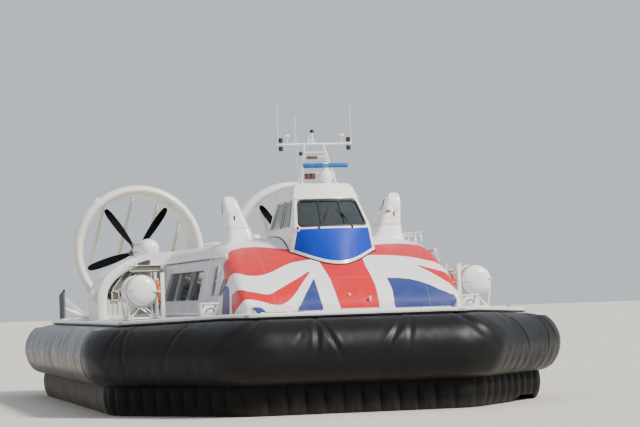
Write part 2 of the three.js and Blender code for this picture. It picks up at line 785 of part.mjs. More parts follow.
function addThrusters() {
  addPair("thruster_fairing", cut(roundedPost(FAIRING_LEVELS), cabinBody(-GAP)), "white");
  const head = roundedPost(HEAD_LEVELS);
  const nozzle = new THREE.CylinderGeometry(NOZZLE.radius, NOZZLE.radius, NOZZLE.depth, 16)
    .rotateZ(Math.PI / 2)
    .scale(1, 1, NOZZLE.stretch);
  add("bow_thruster_port", cut(head, nozzle.clone().translate(1950, NOZZLE.y, NOZZLE.z)), "white");
  add("bow_thruster_starboard", cut(mirrored(head), nozzle.clone().translate(-2370, NOZZLE.y, NOZZLE.z)), "white");
}

// Lift fan housing: an arched hood over the side deck, open to the front, with the fan's intake at its back
const HOUSING = { front: 1500, back: 3600, inner: 420, outer: 4850, shoulder: 3000 };

function housingOutline(inset) {
  const points = [
    [HOUSING.inner + inset, DECK_TOP + GAP],
    [HOUSING.inner + inset, 4250 - inset],
  ];
  const cx = 2700;
  const steps = 9;
  for (let i = 0; i <= steps; i++) {
    const a = Math.PI / 2 - (Math.PI / 2) * (i / steps);
    points.push([
      cx + (HOUSING.outer - inset - cx) * Math.cos(a),
      HOUSING.shoulder + (4330 - inset - HOUSING.shoulder) * Math.sin(a),
    ]);
  }
  points.push([HOUSING.outer - inset, DECK_TOP - droopAt(HOUSING.outer) + GAP * 2]);
  points.push([DECK_FLAT_HALF, DECK_TOP + GAP * 2]);
  return points;
}

function addFanHousings() {
  const body = prismY(housingOutline(0), HOUSING.front, HOUSING.back);
  const hood = common(
    prismY(housingOutline(170), HOUSING.front - 50, HOUSING.front + 1100),
    block(3260, 5000, 0, 4000, DECK_TOP + 60, 6000),
  );
  const intakeZ = 3330;
  const intakeX = 3950;
  const bore = new THREE.CylinderGeometry(520, 520, 1800, 24).translate(intakeX, HOUSING.front + 1400, intakeZ);
  const tool = common(bore, block(3000, 5200, HOUSING.front + 900, HOUSING.front + 1500, 2000, 6000));
  addPair("fan_housing", onDeck(cut(body, hood, tool)), "white");
  const ringGeometry = new THREE.LatheGeometry(
    [
      [500, 0],
      [518, 0],
      [518, 330],
      [500, 330],
      [500, 0],
    ].map(([r, h]) => new THREE.Vector2(r, h)),
    24,
  ).translate(intakeX, HOUSING.front + 1150, intakeZ);
  const vanes = [];
  for (let i = 0; i < 6; i++) {
    const z = intakeZ - 400 + i * 160;
    const reach = Math.sqrt(506 ** 2 - (Math.abs(z - intakeZ) + 14) ** 2);
    vanes.push(block(intakeX - reach, intakeX + reach, HOUSING.front + 1180, HOUSING.front + 1260, z - 14, z + 14));
  }
  vanes.push(block(intakeX - 14, intakeX + 14, HOUSING.front + 1190, HOUSING.front + 1250, intakeZ - 508, intakeZ + 508));
  addPair("fan_grille", join(ringGeometry, ...vanes), "darkGrey");
}

// Engine bay behind the fan housing: a hollow casing with louvres along its side and over its top
const BAY = { front: HOUSING.back + GAP, back: 7900, wall: 60, inner: 1250, outer: 4150, top: 3560 };
const ENGINE = { x0: 1900, x1: 3100, y0: 4300, y1: 6500, top: 3300 };

function bayOutline(inset) {
  return [
    [BAY.inner + inset, DECK_TOP + GAP],
    [BAY.inner + inset, 3350 - inset * 0.4],
    [1500 + inset * 0.4, BAY.top - inset],
    [3500 - inset * 0.2, BAY.top - inset],
    [4050 - inset, 3250 - inset * 0.6],
    [BAY.outer - inset, DECK_TOP - droopAt(BAY.outer) - (inset ? 200 : 0)],
    [DECK_FLAT_HALF, DECK_TOP - (inset ? 200 : 0)],
  ];
}

function addEngineBays() {
  const slots = [];
  for (let i = 0; i < 6; i++) {
    const y = BAY.front + 450 + i * 620;
    for (let k = 0; k < 4; k++)
      slots.push(block(3980, 4300, y, y + 480, 2620 + k * 140, 2620 + k * 140 + 70));
  }
  for (let i = 0; i < 5; i++)
    slots.push(block(1800, 3200, BAY.front + 700 + i * 260, BAY.front + 830 + i * 260, BAY.top - 90, 3700));
  const casing = cut(
    prismY(bayOutline(0), BAY.front, BAY.back),
    prismY(bayOutline(BAY.wall), BAY.front + BAY.wall, BAY.back - BAY.wall),
    ...slots,
  );
  addPair("engine_bay", onDeck(casing), "white");
  addPair("engine_block", block(ENGINE.x0, ENGINE.x1, ENGINE.y0, ENGINE.y1, DECK_TOP + GAP, ENGINE.top), "darkGrey");
}

// Pylon: carries the propeller shaft from the belt drive up to the duct's centre
function addPylons() {
  const shaftY = [6100, PROP_Y - 260];
  const head = new THREE.LatheGeometry(
    [
      [0, 0],
      [150, 20],
      [255, 100],
      [310, 260],
      [320, 600],
      [300, 1700],
      [230, 2400],
      [190, shaftY[1] - shaftY[0]],
      [0, shaftY[1] - shaftY[0]],
    ].map(([r, h]) => new THREE.Vector2(r, h)),
    18,
  ).translate(DUCT_X, shaftY[0], DUCT_Z);
  const column = loft(
    [
      [3560 + GAP, 260, 6300, 8150],
      [DUCT_Z, 170, 6500, 7900],
    ].map(([z, half, y0, y1]) => {
      const m = (y0 + y1) / 2;
      return [
        [DUCT_X, y0, z],
        [DUCT_X + half, y0 + 350, z],
        [DUCT_X + half, m + 300, z],
        [DUCT_X, y1, z],
        [DUCT_X - half, m + 300, z],
        [DUCT_X - half, y0 + 350, z],
      ];
    }),
  );
  const clipped = common(column, block(0, 5000, 6000, 7899, 3000, 6000));
  addPair("propeller_pylon", join(head, clipped), "white");
}

// Duct: a thick rounded lip in front, tapering to a thin trailing edge, on a saddle that stands on the deck
function rudderPlaces() {
  return [-1275, -425, 425, 1275].map((offset) => ({ offset, reach: Math.sqrt(1930 ** 2 - offset ** 2) - 60 }));
}

function addDucts() {
  const length = DUCT_BACK - DUCT_FRONT;
  const profile = [
    [DUCT_BORE, length],
    [DUCT_BORE, 520],
    [DUCT_BORE + 25, 250],
    [DUCT_BORE + 90, 80],
    [DUCT_BORE + 190, 0],
    [DUCT_BORE + 290, 40],
    [DUCT_OUTER, 190],
    [DUCT_OUTER, 380],
    [DUCT_OUTER - 70, 760],
    [DUCT_BORE + 110, length],
    [DUCT_BORE, length],
  ];
  const ring = new THREE.LatheGeometry(
    profile.map(([r, h]) => new THREE.Vector2(r, h)),
    48,
  ).translate(DUCT_X, DUCT_FRONT, DUCT_Z);
  const saddle = cut(
    prismY(
      [
        [DUCT_X - 1350, DECK_TOP + GAP],
        [DUCT_X + 600, DECK_TOP + GAP],
        [DUCT_X + 1350, DECK_TOP - droopAt(DUCT_X + 1350) + 3 * GAP],
        [DUCT_X + 1500, 3250],
        [DUCT_X - 1500, 3250],
      ],
      DUCT_FRONT + 300,
      DUCT_BACK - 150,
    ),
    new THREE.CylinderGeometry(DUCT_BORE + 60, DUCT_BORE + 60, 3000, 48).translate(DUCT_X, PROP_Y, DUCT_Z),
    block(DECK_FLAT_HALF, 5000, 8000, 11000, 2000, DECK_TOP - droopAt(DUCT_X + 1350) + 3 * GAP),
  );
  const brackets = rudderPlaces().flatMap(({ offset, reach }) =>
    [1, -1].map((end) => {
      const r0 = reach + 12;
      const tab = block(offset - 45, offset + 45, DUCT_BACK - 60, DUCT_BACK + 480, Math.min(r0, r0 + 70), Math.max(r0, r0 + 70));
      const web = block(offset - 12, offset + 12, DUCT_BACK - 120, DUCT_BACK + 300, r0, r0 + 150);
      const both = join(tab, web);
      if (end < 0) both.rotateY(Math.PI).translate(2 * offset, 0, 0);
      return cut(
        both.rotateY(-RUDDER_CANT).translate(DUCT_X, 0, DUCT_Z),
        new THREE.CylinderGeometry(DUCT_BORE + 2, DUCT_BORE + 2, DUCT_BACK - 7000, 48).translate(
          DUCT_X,
          (DUCT_BACK + 7000) / 2,
          DUCT_Z,
        ),
      );
    }),
  );
  addPair("propeller_duct", join(onDeck(join(ring, saddle)), ...brackets), "white");
}

// Five-bladed propeller, with two blades up in a V
function propeller() {
  const hub = new THREE.LatheGeometry(
    [
      [0, -230],
      [170, -230],
      [190, -150],
      [190, 120],
      [140, 260],
      [60, 330],
      [0, 345],
    ].map(([r, h]) => new THREE.Vector2(r, h)),
    15,
  );
  // radius, chord, thickness, twist in degrees
  const sections = [
    [130, 150, 110, 60],
    [420, 250, 60, 48],
    [900, 300, 36, 34],
    [1400, 260, 22, 26],
    [PROP_RADIUS, 120, 12, 22],
  ];
  const blade = loft(
    sections.map(([r, chord, thick, twist]) => {
      const t = THREE.MathUtils.degToRad(twist);
      const outlinePoints = [
        [-0.5, 0],
        [-0.28, 0.42],
        [0.05, 0.5],
        [0.5, 0],
        [0.05, -0.3],
        [-0.28, -0.3],
      ];
      return outlinePoints.map(([c, h]) => {
        const x = c * chord;
        const y = h * thick;
        return [x * Math.cos(t) - y * Math.sin(t), x * Math.sin(t) + y * Math.cos(t), r];
      });
    }),
  );
  const blades = [36, 108, 180, 252, 324].map((angle) => blade.clone().rotateY(THREE.MathUtils.degToRad(angle)));
  return join(hub, ...blades).translate(DUCT_X, PROP_Y, DUCT_Z);
}

function addRudders() {
  for (const [side, name] of [
    [1, "port"],
    [-1, "starboard"],
  ]) {
    const bank = new THREE.Group();
    bank.position.set(side * DUCT_X, 0, DUCT_Z);
    bank.rotation.y = -side * RUDDER_CANT;
    craft.add(bank);
    rudderPlaces().forEach(({ offset, reach }, i) => {
      const hinge = DUCT_BACK + 340;
      const foil = [
        [-200, 0],
        [-150, 38],
        [0, 48],
        [380, 10],
        [380, -10],
        [0, -48],
        [-150, -38],
      ].map(([a, b]) => [b, a]);
      const geometry = new THREE.ExtrudeGeometry(outline(foil), { depth: 2 * reach, bevelEnabled: false }).translate(
        0,
        0,
        -reach,
      );
      const mesh = add(`rudder_${name}_${i + 1}`, geometry, "cream", bank);
      mesh.position.set(side * offset, hinge, 0);
    });
  }
}

// Liferaft canister in its cradle on the side deck, tilted so that it can roll overboard
function addCanisters() {
  const radius = 415;
  const half = 790;
  const canister = new THREE.LatheGeometry(
    [
      [0, -half],
      [radius * 0.55, -half + 20],
      [radius * 0.88, -half + 90],
      [radius, -half + 230],
      [radius, half - 230],
      [radius * 0.88, half - 90],
      [radius * 0.55, half - 20],
      [0, half],
    ].map(([r, h]) => new THREE.Vector2(r, h)),
    20,
  );
  const flange = prismZ(roundedRect(0, 0, 2 * radius + 90, 2 * half - 60, 180, 3), -18, 18);
  const whole = join(canister, flange).rotateY(THREE.MathUtils.degToRad(-6));
  addPair("liferaft_canister", whole.translate(CANISTER_X, CANISTER_Y, CANISTER_Z), "white");

  const low = (x) => DECK_TOP - droopAt(x) + 2 * GAP;
  const frames = [-480, 480].flatMap((dy) => {
    const y = CANISTER_Y + dy;
    return [
      bar([CANISTER_X - 420, y, low(CANISTER_X - 420) + 40], [CANISTER_X - 50, y, 2740], 24, 6),
      bar([CANISTER_X - 420, y, low(CANISTER_X - 420) + 40], [CANISTER_X - 400, y, 3010], 24, 6),
      bar([CANISTER_X + 330, y, low(CANISTER_X + 330) + 40], [CANISTER_X + 50, y, 2740], 24, 6),
      bar([CANISTER_X + 330, y, low(CANISTER_X + 330) + 40], [CANISTER_X + 410, y, 3010], 24, 6),
      common(
        new THREE.CylinderGeometry(radius + 34, radius + 34, 70, 20).translate(CANISTER_X, y, CANISTER_Z),
        block(CANISTER_X - 600, CANISTER_X + 600, y - 100, y + 100, 2000, CANISTER_Z - 130),
      ),
    ];
  });
  const feet = [CANISTER_X - 420, CANISTER_X + 330].map((x) =>
    block(x - 50, x + 50, CANISTER_Y - 600, CANISTER_Y + 600, low(x) + 12, low(x) + 60),
  );
  const reach = new THREE.CylinderGeometry(radius + 6, radius + 6, 4000, 20).translate(
    CANISTER_X,
    CANISTER_Y,
    CANISTER_Z,
  );
  const clearance = join(reach, block(CANISTER_X - 520, CANISTER_X + 520, -9000, -1000, CANISTER_Z - 90, 4200));
  const ties = [-480, 480].map((dy) =>
    block(CANISTER_X - 440, CANISTER_X + 350, CANISTER_Y + dy - 40, CANISTER_Y + dy + 40, low(CANISTER_X - 420) + 2, low(CANISTER_X - 420) + 52),
  );
  const joined = join(...frames, ...feet, ...ties);
  const post = [
    block(CANISTER_X - 570, CANISTER_X - 480, CANISTER_Y - 780, CANISTER_Y - 640, low(CANISTER_X - 500), 3630),
    block(CANISTER_X - 560, CANISTER_X - 380, CANISTER_Y - 760, CANISTER_Y - 560, low(CANISTER_X - 420) + 12, low(CANISTER_X - 420) + 58),
  ];
  addPair("canister_cradle", onDeck(join(cut(joined, clearance), ...post)), "white");
}

// Ribbed screen standing at the deck's edge near the stern, held by two stays
function addSternScreens() {
  const x = 5230;
  const y = [6700, 7850];
  const floor = DECK_TOP - droopAt(x);
  const panel = prismX(
    [
      [y[0], floor + 40],
      [y[1], floor + 40],
      [y[1], floor + 770],
      [y[0], floor + 930],
    ],
    x - 25,
    x + 25,
  );
  const foot = block(x - 90, x + 70, y[0] - 20, y[1] + 20, floor + 12, floor + 60);
  const stays = [y[0] + 120, y[1] - 120].flatMap((s) => [
    bar([x, s, floor + 740], [x - 780, s, floor + 55], 18, 6),
    bar([x, s, floor + 430], [x - 780, s, floor + 55], 18, 6),
  ]);
  const pads = [y[0] + 120, y[1] - 120].map((s) => block(x - 850, x - 700, s - 60, s + 60, floor + 40, floor + 95));
  const tie = block(x - 850, x, y[0] + 60, y[0] + 180, floor + 38, floor + 62);
  const tie2 = block(x - 850, x, y[1] - 180, y[1] - 60, floor + 38, floor + 62);
  addPair("stern_screen", onDeck(join(panel, foot, tie, tie2, ...stays, ...pads)), "darkGrey");
}

addHull();
addDeck();
addSkirtBags();
addFingers();
addCabin();
addSeats();
addCockpit();
addMast();
addThrusters();
addFanHousings();
addEngineBays();
addPylons();
addDucts();
addPair("propeller", propeller(), "blade");
addRudders();
addCanisters();
addSternScreens();

export default craft;
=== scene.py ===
"""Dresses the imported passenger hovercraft: skirt, cabin, cockpit, mast, thrusters, fans, ducts and rudders.

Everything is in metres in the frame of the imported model: bow to -Y, port to +X, up +Z, floor at z = 0.
"""

import bisect
import json
import logging
import math
from dataclasses import dataclass, field
from enum import Enum
from functools import partial
from typing import Callable, Iterable, Sequence

import bmesh
import bpy
from mathutils import Matrix, Vector, noise

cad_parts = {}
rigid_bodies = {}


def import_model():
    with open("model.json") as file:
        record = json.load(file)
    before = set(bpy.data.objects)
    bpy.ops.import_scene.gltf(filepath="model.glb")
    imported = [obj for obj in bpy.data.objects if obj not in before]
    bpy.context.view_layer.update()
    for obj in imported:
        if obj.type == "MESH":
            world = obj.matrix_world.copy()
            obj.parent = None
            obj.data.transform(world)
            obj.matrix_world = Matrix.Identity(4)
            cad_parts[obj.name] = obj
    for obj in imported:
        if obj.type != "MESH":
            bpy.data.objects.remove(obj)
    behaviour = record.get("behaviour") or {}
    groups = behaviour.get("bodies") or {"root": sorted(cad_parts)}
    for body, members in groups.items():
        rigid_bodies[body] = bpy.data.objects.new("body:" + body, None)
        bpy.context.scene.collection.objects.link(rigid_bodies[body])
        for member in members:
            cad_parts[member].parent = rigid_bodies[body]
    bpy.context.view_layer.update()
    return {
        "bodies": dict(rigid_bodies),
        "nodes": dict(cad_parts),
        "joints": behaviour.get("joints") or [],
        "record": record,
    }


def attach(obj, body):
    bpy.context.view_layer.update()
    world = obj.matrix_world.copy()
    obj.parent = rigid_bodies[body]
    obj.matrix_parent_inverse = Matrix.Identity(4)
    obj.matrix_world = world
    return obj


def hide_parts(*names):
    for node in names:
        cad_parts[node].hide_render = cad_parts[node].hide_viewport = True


log = logging.getLogger("hovercraft")

Point = tuple[float, float, float]
Flat = tuple[float, float]
Outline = tuple[Flat, ...]
Colour = tuple[float, float, float]
Row = tuple[float, ...]
Value = float | Sequence[float] | bpy.types.NodeSocket

ROOT = "craft"
DECK_TOP = 2.47
DECK_HALF = 5.4
DECK_FLAT_HALF = 3.15
DECK_DROOP = 0.1
BOW_Y = -10.9
STERN_Y = 10.9
DECK_PLAN = ((2.7, BOW_Y), (DECK_HALF, BOW_Y + 3.5), (DECK_HALF, STERN_Y - 2.3), (3.7, STERN_Y))


def deck_height(x: float) -> float:
    """Returns the height of the deck's top at a distance from the centreline."""
    return DECK_TOP - DECK_DROOP * max(0.0, abs(x) - DECK_FLAT_HALF) / (DECK_HALF - DECK_FLAT_HALF)


def smooth_step(value: float, low: float, high: float) -> float:
    """Returns 0 below low, 1 above high and a smooth rise between them."""
    share = min(1.0, max(0.0, (value - low) / (high - low)))
    return share * share * (3.0 - 2.0 * share)


def round_path(points: Sequence[Sequence[float]], steps: int, closed: bool = False) -> list[Vector]:
    """Runs a smooth curve through points.

    Args:
        points: The points that the curve passes, all flat or all in space.
        steps: Stretches between two points.
        closed: Whether the last point leads back to the first.

    Returns:
        Points along the curve.
    """
    given = [Vector(p) for p in points]
    count = len(given)
    pick = (lambda i: given[i % count]) if closed else (lambda i: given[min(count - 1, max(0, i))])
    path = []
    for i in range(count if closed else count - 1):
        a, b, c, d = (pick(i + k) for k in (-1, 0, 1, 2))
        for step in range(steps):
            t = step / steps
            line = 2 * b + (c - a) * t
            bend = (2 * a - 5 * b + 4 * c - d) * t**2
            path.append(0.5 * (line + bend + (3 * b - a - 3 * c + d) * t**3))
    if not closed:
        path.append(given[-1])
    return path


class SmoothTable:
    """Rows of numbers with a rising first column, read by a cubic curve that never overshoots."""

    def __init__(self, rows: Sequence[Sequence[float]]) -> None:
        """Keeps the rows and works out the slope at each."""
        self.rows = rows
        self.slopes = [self._slopes(column) for column in range(1, len(rows[0]))]

    def _slopes(self, column: int) -> list[float]:
        """Returns the slope of one column at each row."""
        keys = [row[0] for row in self.rows]
        values = [row[column] for row in self.rows]
        rise = [(b - a) / (q - p) for p, q, a, b in zip(keys, keys[1:], values, values[1:])]
        inner = [0.0 if a * b <= 0 else 2 * a * b / (a + b) for a, b in zip(rise, rise[1:])]
        return [rise[0], *inner, rise[-1]]

    def at(self, key: float) -> list[float]:
        """Returns the values of the other columns at a key."""
        last = len(self.rows) - 1
        i = next((k for k in range(1, last + 1) if self.rows[k][0] >= key), last)
        low, high = self.rows[i - 1], self.rows[i]
        width = high[0] - low[0]
        t = min(1.0, max(0.0, (key - low[0]) / width))
        values = []
        for column, slope in enumerate(self.slopes, 1):
            a, b, m, n = low[column], high[column], slope[i - 1] * width, slope[i] * width
            start = (2 * t**3 - 3 * t**2 + 1) * a + (t**3 - 2 * t**2 + t) * m
            values.append(start + (3 * t**2 - 2 * t**3) * b + (t**3 - t**2) * n)
        return values


class Side(Enum):
    """The two sides of the craft, by the sign of X."""

    PORT = 1
    STARBOARD = -1

    @property
    def word(self) -> str:
        """The side's name in the names of nodes."""
        return self.name.lower()


@dataclass(frozen=True)
class NodeKit:
    """Short ways to add shader nodes and wires to one node tree."""

    tree: bpy.types.NodeTree

    def add(self, kind: str, inputs: dict[str | int, Value] | None = None, **settings: str) -> bpy.types.Node:
        """Adds a node.

        Args:
            kind: The node's type name without its ShaderNode prefix.
            inputs: Values or output sockets by the name or number of the input socket.
            settings: Properties of the node.

        Returns:
            The new node.
        """
        node = self.tree.nodes.new("ShaderNode" + kind)
        for key, value in settings.items():
            setattr(node, key, value)
        for key, value in (inputs or {}).items():
            if isinstance(value, bpy.types.NodeSocket):
                self.tree.links.new(value, node.inputs[key])
            else:
                node.inputs[key].default_value = value
        return node

    def math(self, operation: str, *values: Value) -> bpy.types.NodeSocket:
        """Adds a math node and returns its output."""
        return self.add("Math", dict(enumerate(values)), operation=operation).outputs[0]

    def ramp(self, value: bpy.types.NodeSocket, low: float, high: float) -> bpy.types.NodeSocket:
        """Returns 0 below low, 1 above high and a smooth step between them."""
        settings = {"Value": value, "From Min": low, "From Max": high}
        return self.add("MapRange", settings, interpolation_type="SMOOTHSTEP").outputs[0]

    def attribute(self, name: str) -> bpy.types.NodeSocket:
        """Returns a number that the mesh holds by name."""
        return self.add("Attribute", attribute_name=name).outputs["Fac"]

    def axes(self) -> bpy.types.Node:
        """Splits the object coordinates into X, Y and Z."""
        return self.add("SeparateXYZ", {0: self.add("TexCoord").outputs["Object"]})

    def mix(self, factor: Value, a: Value, b: Value) -> bpy.types.NodeSocket:
        """Mixes two colours by a factor."""
        node = self.add("Mix", data_type="RGBA")
        for key, value in (("Factor", factor), ("A", a), ("B", b)):
            wanted = "VALUE" if key == "Factor" else "RGBA"
            socket = next(s for s in node.inputs if s.name == key and s.type == wanted)
            if isinstance(value, bpy.types.NodeSocket):
                self.tree.links.new(value, socket)
            else:
                socket.default_value = value if key == "Factor" else (*value[:3], 1.0)
        return next(s for s in node.outputs if s.type == "RGBA")


class EffectGroups:
    """Shader effects that several finishes share, each built once as a node group."""

    def __init__(self) -> None:
        """Starts with no group built."""
        self.built: dict[str, bpy.types.NodeTree] = {}

    def get(self, name: str) -> bpy.types.NodeTree:
        """Returns the named group, and builds it on first use."""
        if name not in self.built:
            self.built[name] = getattr(self, "_" + name)()
        return self.built[name]

    def _start(
        self, name: str, inputs: dict[str, float], outputs: Sequence[str]
    ) -> tuple[NodeKit, bpy.types.Node, bpy.types.Node]:
        """Makes an empty group with number sockets.

        Args:
            name: The group's name.
            inputs: Default value by input name.
            outputs: Output names.
        """
        tree = bpy.data.node_groups.new(name, "ShaderNodeTree")
        for key, value in inputs.items():
            socket = tree.interface.new_socket(key, in_out="INPUT", socket_type="NodeSocketFloat")
            socket.default_value = value
        for key in outputs:
            tree.interface.new_socket(key, in_out="OUTPUT", socket_type="NodeSocketFloat")
        return NodeKit(tree), tree.nodes.new("NodeGroupInput"), tree.nodes.new("NodeGroupOutput")

    def _grime(self) -> bpy.types.NodeTree:
        """Patches of dirt, and long streaks that run down from them."""
        kit, source, sink = self._start("grime", {"Scale": 1.5, "Streaks": 6.0}, ["Patches", "Streaks"])
        place = kit.add("TexCoord").outputs["Object"]
        settings = {"Vector": place, "Scale": source.outputs["Scale"], "Detail": 8.0, "Roughness": 0.62}
        patches = kit.add("TexNoise", settings)
        kit.tree.links.new(kit.ramp(patches.outputs[0], 0.46, 0.72), sink.inputs["Patches"])
        stretched = kit.add("Mapping", {"Vector": place, "Scale": (1.0, 1.0, 0.09)}).outputs[0]
        settings = {"Vector": stretched, "Scale": source.outputs["Streaks"], "Detail": 5.0, "Roughness": 0.55}
        streaks = kit.add("TexNoise", settings)
        kit.tree.links.new(kit.ramp(streaks.outputs[0], 0.5, 0.78), sink.inputs["Streaks"])
        return kit.tree

    def _skin(self) -> bpy.types.NodeTree:
        """The small unevenness of sprayed paint, moulded plastic or rubber, as a height."""
        kit, source, sink = self._start("skin", {"Scale": 60.0}, ["Height"])
        place = kit.add("TexCoord").outputs["Object"]
        fine = kit.add("TexNoise", {"Vector": place, "Scale": source.outputs["Scale"], "Detail": 3.0})
        broad = kit.add("TexNoise", {"Vector": place, "Scale": 2.2, "Detail": 2.0})
        both = kit.math("ADD", kit.math("MULTIPLY", fine.outputs[0], 0.25), broad.outputs[0])
        kit.tree.links.new(both, sink.inputs["Height"])
        return kit.tree

    def _seams(self) -> bpy.types.NodeTree:
        """Thin lines across X, Y and Z, as where plates meet."""
        pitches = {"Pitch X": 900.0, "Pitch Y": 900.0, "Pitch Z": 900.0}
        kit, source, sink = self._start("seams", {**pitches, "Width": 0.007}, ["Lines"])
        split = kit.axes()
        lines = 0.0
        for axis in "XYZ":
            pitch = source.outputs["Pitch " + axis]
            turns = kit.math("FRACT", kit.math("DIVIDE", split.outputs[axis], pitch))
            away = kit.math("MULTIPLY", kit.math("ABSOLUTE", kit.math("SUBTRACT", turns, 0.5)), pitch)
            lines = kit.math("MAXIMUM", lines, kit.math("LESS_THAN", away, source.outputs["Width"]))
        kit.tree.links.new(lines, sink.inputs["Lines"])
        return kit.tree

    def _pleats(self) -> bpy.types.NodeTree:
        """Upright ripples in slack rubber, as a height and as a mask of their hollows."""
        kit, source, sink = self._start("pleats", {"Spacing": 3.0}, ["Height", "Hollows"])
        place = kit.add("TexCoord").outputs["Object"]
        squashed = kit.add("Mapping", {"Vector": place, "Scale": (1.0, 1.0, 0.06)}).outputs[0]
        settings = {"Vector": squashed, "Scale": source.outputs["Spacing"], "Detail": 2.5, "Distortion": 0.4}
        wave = kit.add("TexNoise", settings).outputs[0]
        kit.tree.links.new(wave, sink.inputs["Height"])
        kit.tree.links.new(kit.ramp(wave, 0.52, 0.36), sink.inputs["Hollows"])
        return kit.tree

    def place(self, kit: NodeKit, name: str, **values: float) -> bpy.types.Node:
        """Adds the named group to a material's tree with its own values."""
        node = kit.tree.nodes.new("ShaderNodeGroup")
        node.node_tree = self.get(name)
        for key, value in values.items():
            node.inputs[key].default_value = value
        return node


EFFECTS = EffectGroups()


@dataclass(frozen=True)
class Finish:
    """A surface finish with dirt patches, streaks and a fine skin."""

    name: str
    colour: Colour
    roughness: float = 0.35
    metallic: float = 0.0
    coat: float = 0.0
    dirt: Colour = (0.36, 0.33, 0.28)
    patches: float = 0.12
    streaks: float = 0.12
    skin_scale: float = 60.0
    bump: float = 0.06
    specular: float = 0.5
    seams: tuple[tuple[str, float], ...] = ()
    seam_shade: float = 0.45
    slot: str = "craft_white"
    dirt_roughness: float = 0.18
    coat_roughness: float = 0.08
    bump_height: float = 0.02

    def base_colour(self, kit: NodeKit) -> Value:
        """The clean colour under the dirt, as a value or a socket."""
        return self.colour

    def relief(self, kit: NodeKit) -> bpy.types.NodeSocket:
        """The surface's height for its bump."""
        return EFFECTS.place(kit, "skin", Scale=self.skin_scale).outputs[0]

    def build(self) -> bpy.types.Material:
        """Builds the material, or returns the one that exists.

        Returns:
            The finished material.
        """
        known = bpy.data.materials.get(self.name)
        if known:
            return known
        material = bpy.data.materials.new(self.name)
        material.use_nodes = True
        material.diffuse_color = (*self.colour, 1.0)
        kit = NodeKit(material.node_tree)
        shader = material.node_tree.nodes["Principled BSDF"]
        grime = EFFECTS.place(kit, "grime")
        spots = kit.math("MULTIPLY", grime.outputs["Patches"], self.patches)
        worn = kit.mix(spots, self.base_colour(kit), self.dirt)
        worn = kit.mix(kit.math("MULTIPLY", grime.outputs["Streaks"], self.streaks), worn, self.dirt)
        if self.seams:
            pitches = {"Pitch " + axis: pitch for axis, pitch in self.seams}
            lines = EFFECTS.place(kit, "seams", **pitches).outputs[0]
            worn = kit.mix(kit.math("MULTIPLY", lines, self.seam_shade), worn, self.dirt)
        kit.tree.links.new(worn, shader.inputs["Base Color"])
        dull = kit.math("MULTIPLY", grime.outputs["Patches"], self.dirt_roughness)
        kit.tree.links.new(kit.math("ADD", dull, self.roughness), shader.inputs["Roughness"])
        shader.inputs["Metallic"].default_value = self.metallic
        shader.inputs["Specular IOR Level"].default_value = self.specular
        shader.inputs["Coat Weight"].default_value = self.coat
        shader.inputs["Coat Roughness"].default_value = self.coat_roughness
        height = self.relief(kit)
        bump = kit.add("Bump", {"Height": height, "Strength": self.bump, "Distance": self.bump_height})
        kit.tree.links.new(bump.outputs[0], shader.inputs["Normal"])
        return material


@dataclass(frozen=True)
class Glass(Finish):
    """Dark tinted glass that lets some light through."""

    transmission: float = 0.25

    def build(self) -> bpy.types.Material:
        """Builds the tinted glass with plain transmission."""
        known = bpy.data.materials.get(self.name)
        material = super().build()
        if not known:
            shader = material.node_tree.nodes["Principled BSDF"]
            shader.inputs["Transmission Weight"].default_value = self.transmission
        return material


@dataclass(frozen=True)
class FlagPaint(Finish):
    """White gloss paint with red and blue fields, which the mesh marks by signed distances."""

    red: Colour = (0.62, 0.008, 0.012)
    blue: Colour = (0.026, 0.044, 0.20)
    edge: float = 0.006

    def base_colour(self, kit: NodeKit) -> bpy.types.NodeSocket:
        """White under the red and the blue fields."""
        reds = kit.ramp(kit.attribute("red_field"), -self.edge, self.edge)
        blues = kit.ramp(kit.attribute("blue_field"), -self.edge, self.edge)
        return kit.mix(blues, kit.mix(reds, self.colour, self.red), self.blue)


@dataclass(frozen=True)
class SkirtRubber(Finish):
    """Coated black fabric with dust low down that also paints the floor's reflection, and a painted sky
    reflection high up, strongest along the sides.
    """

    streaks: float = 0.0
    slot: str = "skirt_rubber"
    sand_and_floor_sheen: Colour = (0.30, 0.24, 0.17)
    sky_sheen: Colour = (0.085, 0.092, 0.105)
    low_band_full: float = 0.0
    band_split: float = 1.0
    sand_and_sheen_share: float = 0.5
    sky_sheen_share: float = 0.2
    pleats: float = 3.0

    def base_colour(self, kit: NodeKit) -> bpy.types.NodeSocket:
        """Black, with a painted sky reflection high up and, low down, dust with a painted floor reflection,
        uneven along streaks.
        """
        height = kit.axes().outputs["Z"]
        grime = EFFECTS.place(kit, "grime", Scale=0.8, Streaks=5.0)
        # Low down: dust mixed with a painted reflection of the floor.
        low = kit.ramp(height, self.band_split, self.low_band_full)
        uneven = kit.math("ADD", 0.55, kit.math("MULTIPLY", grime.outputs["Streaks"], 0.45))
        sand_and_sheen_mask = kit.math("MULTIPLY", kit.math("MULTIPLY", low, uneven), self.sand_and_sheen_share)
        # High up: a painted blue-grey reflection of the sky.
        high = kit.ramp(height, self.band_split - 0.1, self.band_split + 0.25)
        sky_sheen_rise = kit.math("MULTIPLY", high, self.sky_sheen_share)
        sky_sheen_mask = kit.math("MULTIPLY", sky_sheen_rise, kit.math("ADD", 0.6, grime.outputs["Patches"]))
        return kit.mix(sand_and_sheen_mask, kit.mix(sky_sheen_mask, self.colour, self.sky_sheen), self.sand_and_floor_sheen)

    def relief(self, kit: NodeKit) -> bpy.types.NodeSocket:
        """Upright pleats with a fine grain on them."""
        pleats = EFFECTS.place(kit, "pleats", Spacing=self.pleats).outputs["Height"]
        grain = EFFECTS.place(kit, "skin", Scale=self.skin_scale).outputs[0]
        return kit.math("ADD", kit.math("MULTIPLY", grain, 0.2), pleats)


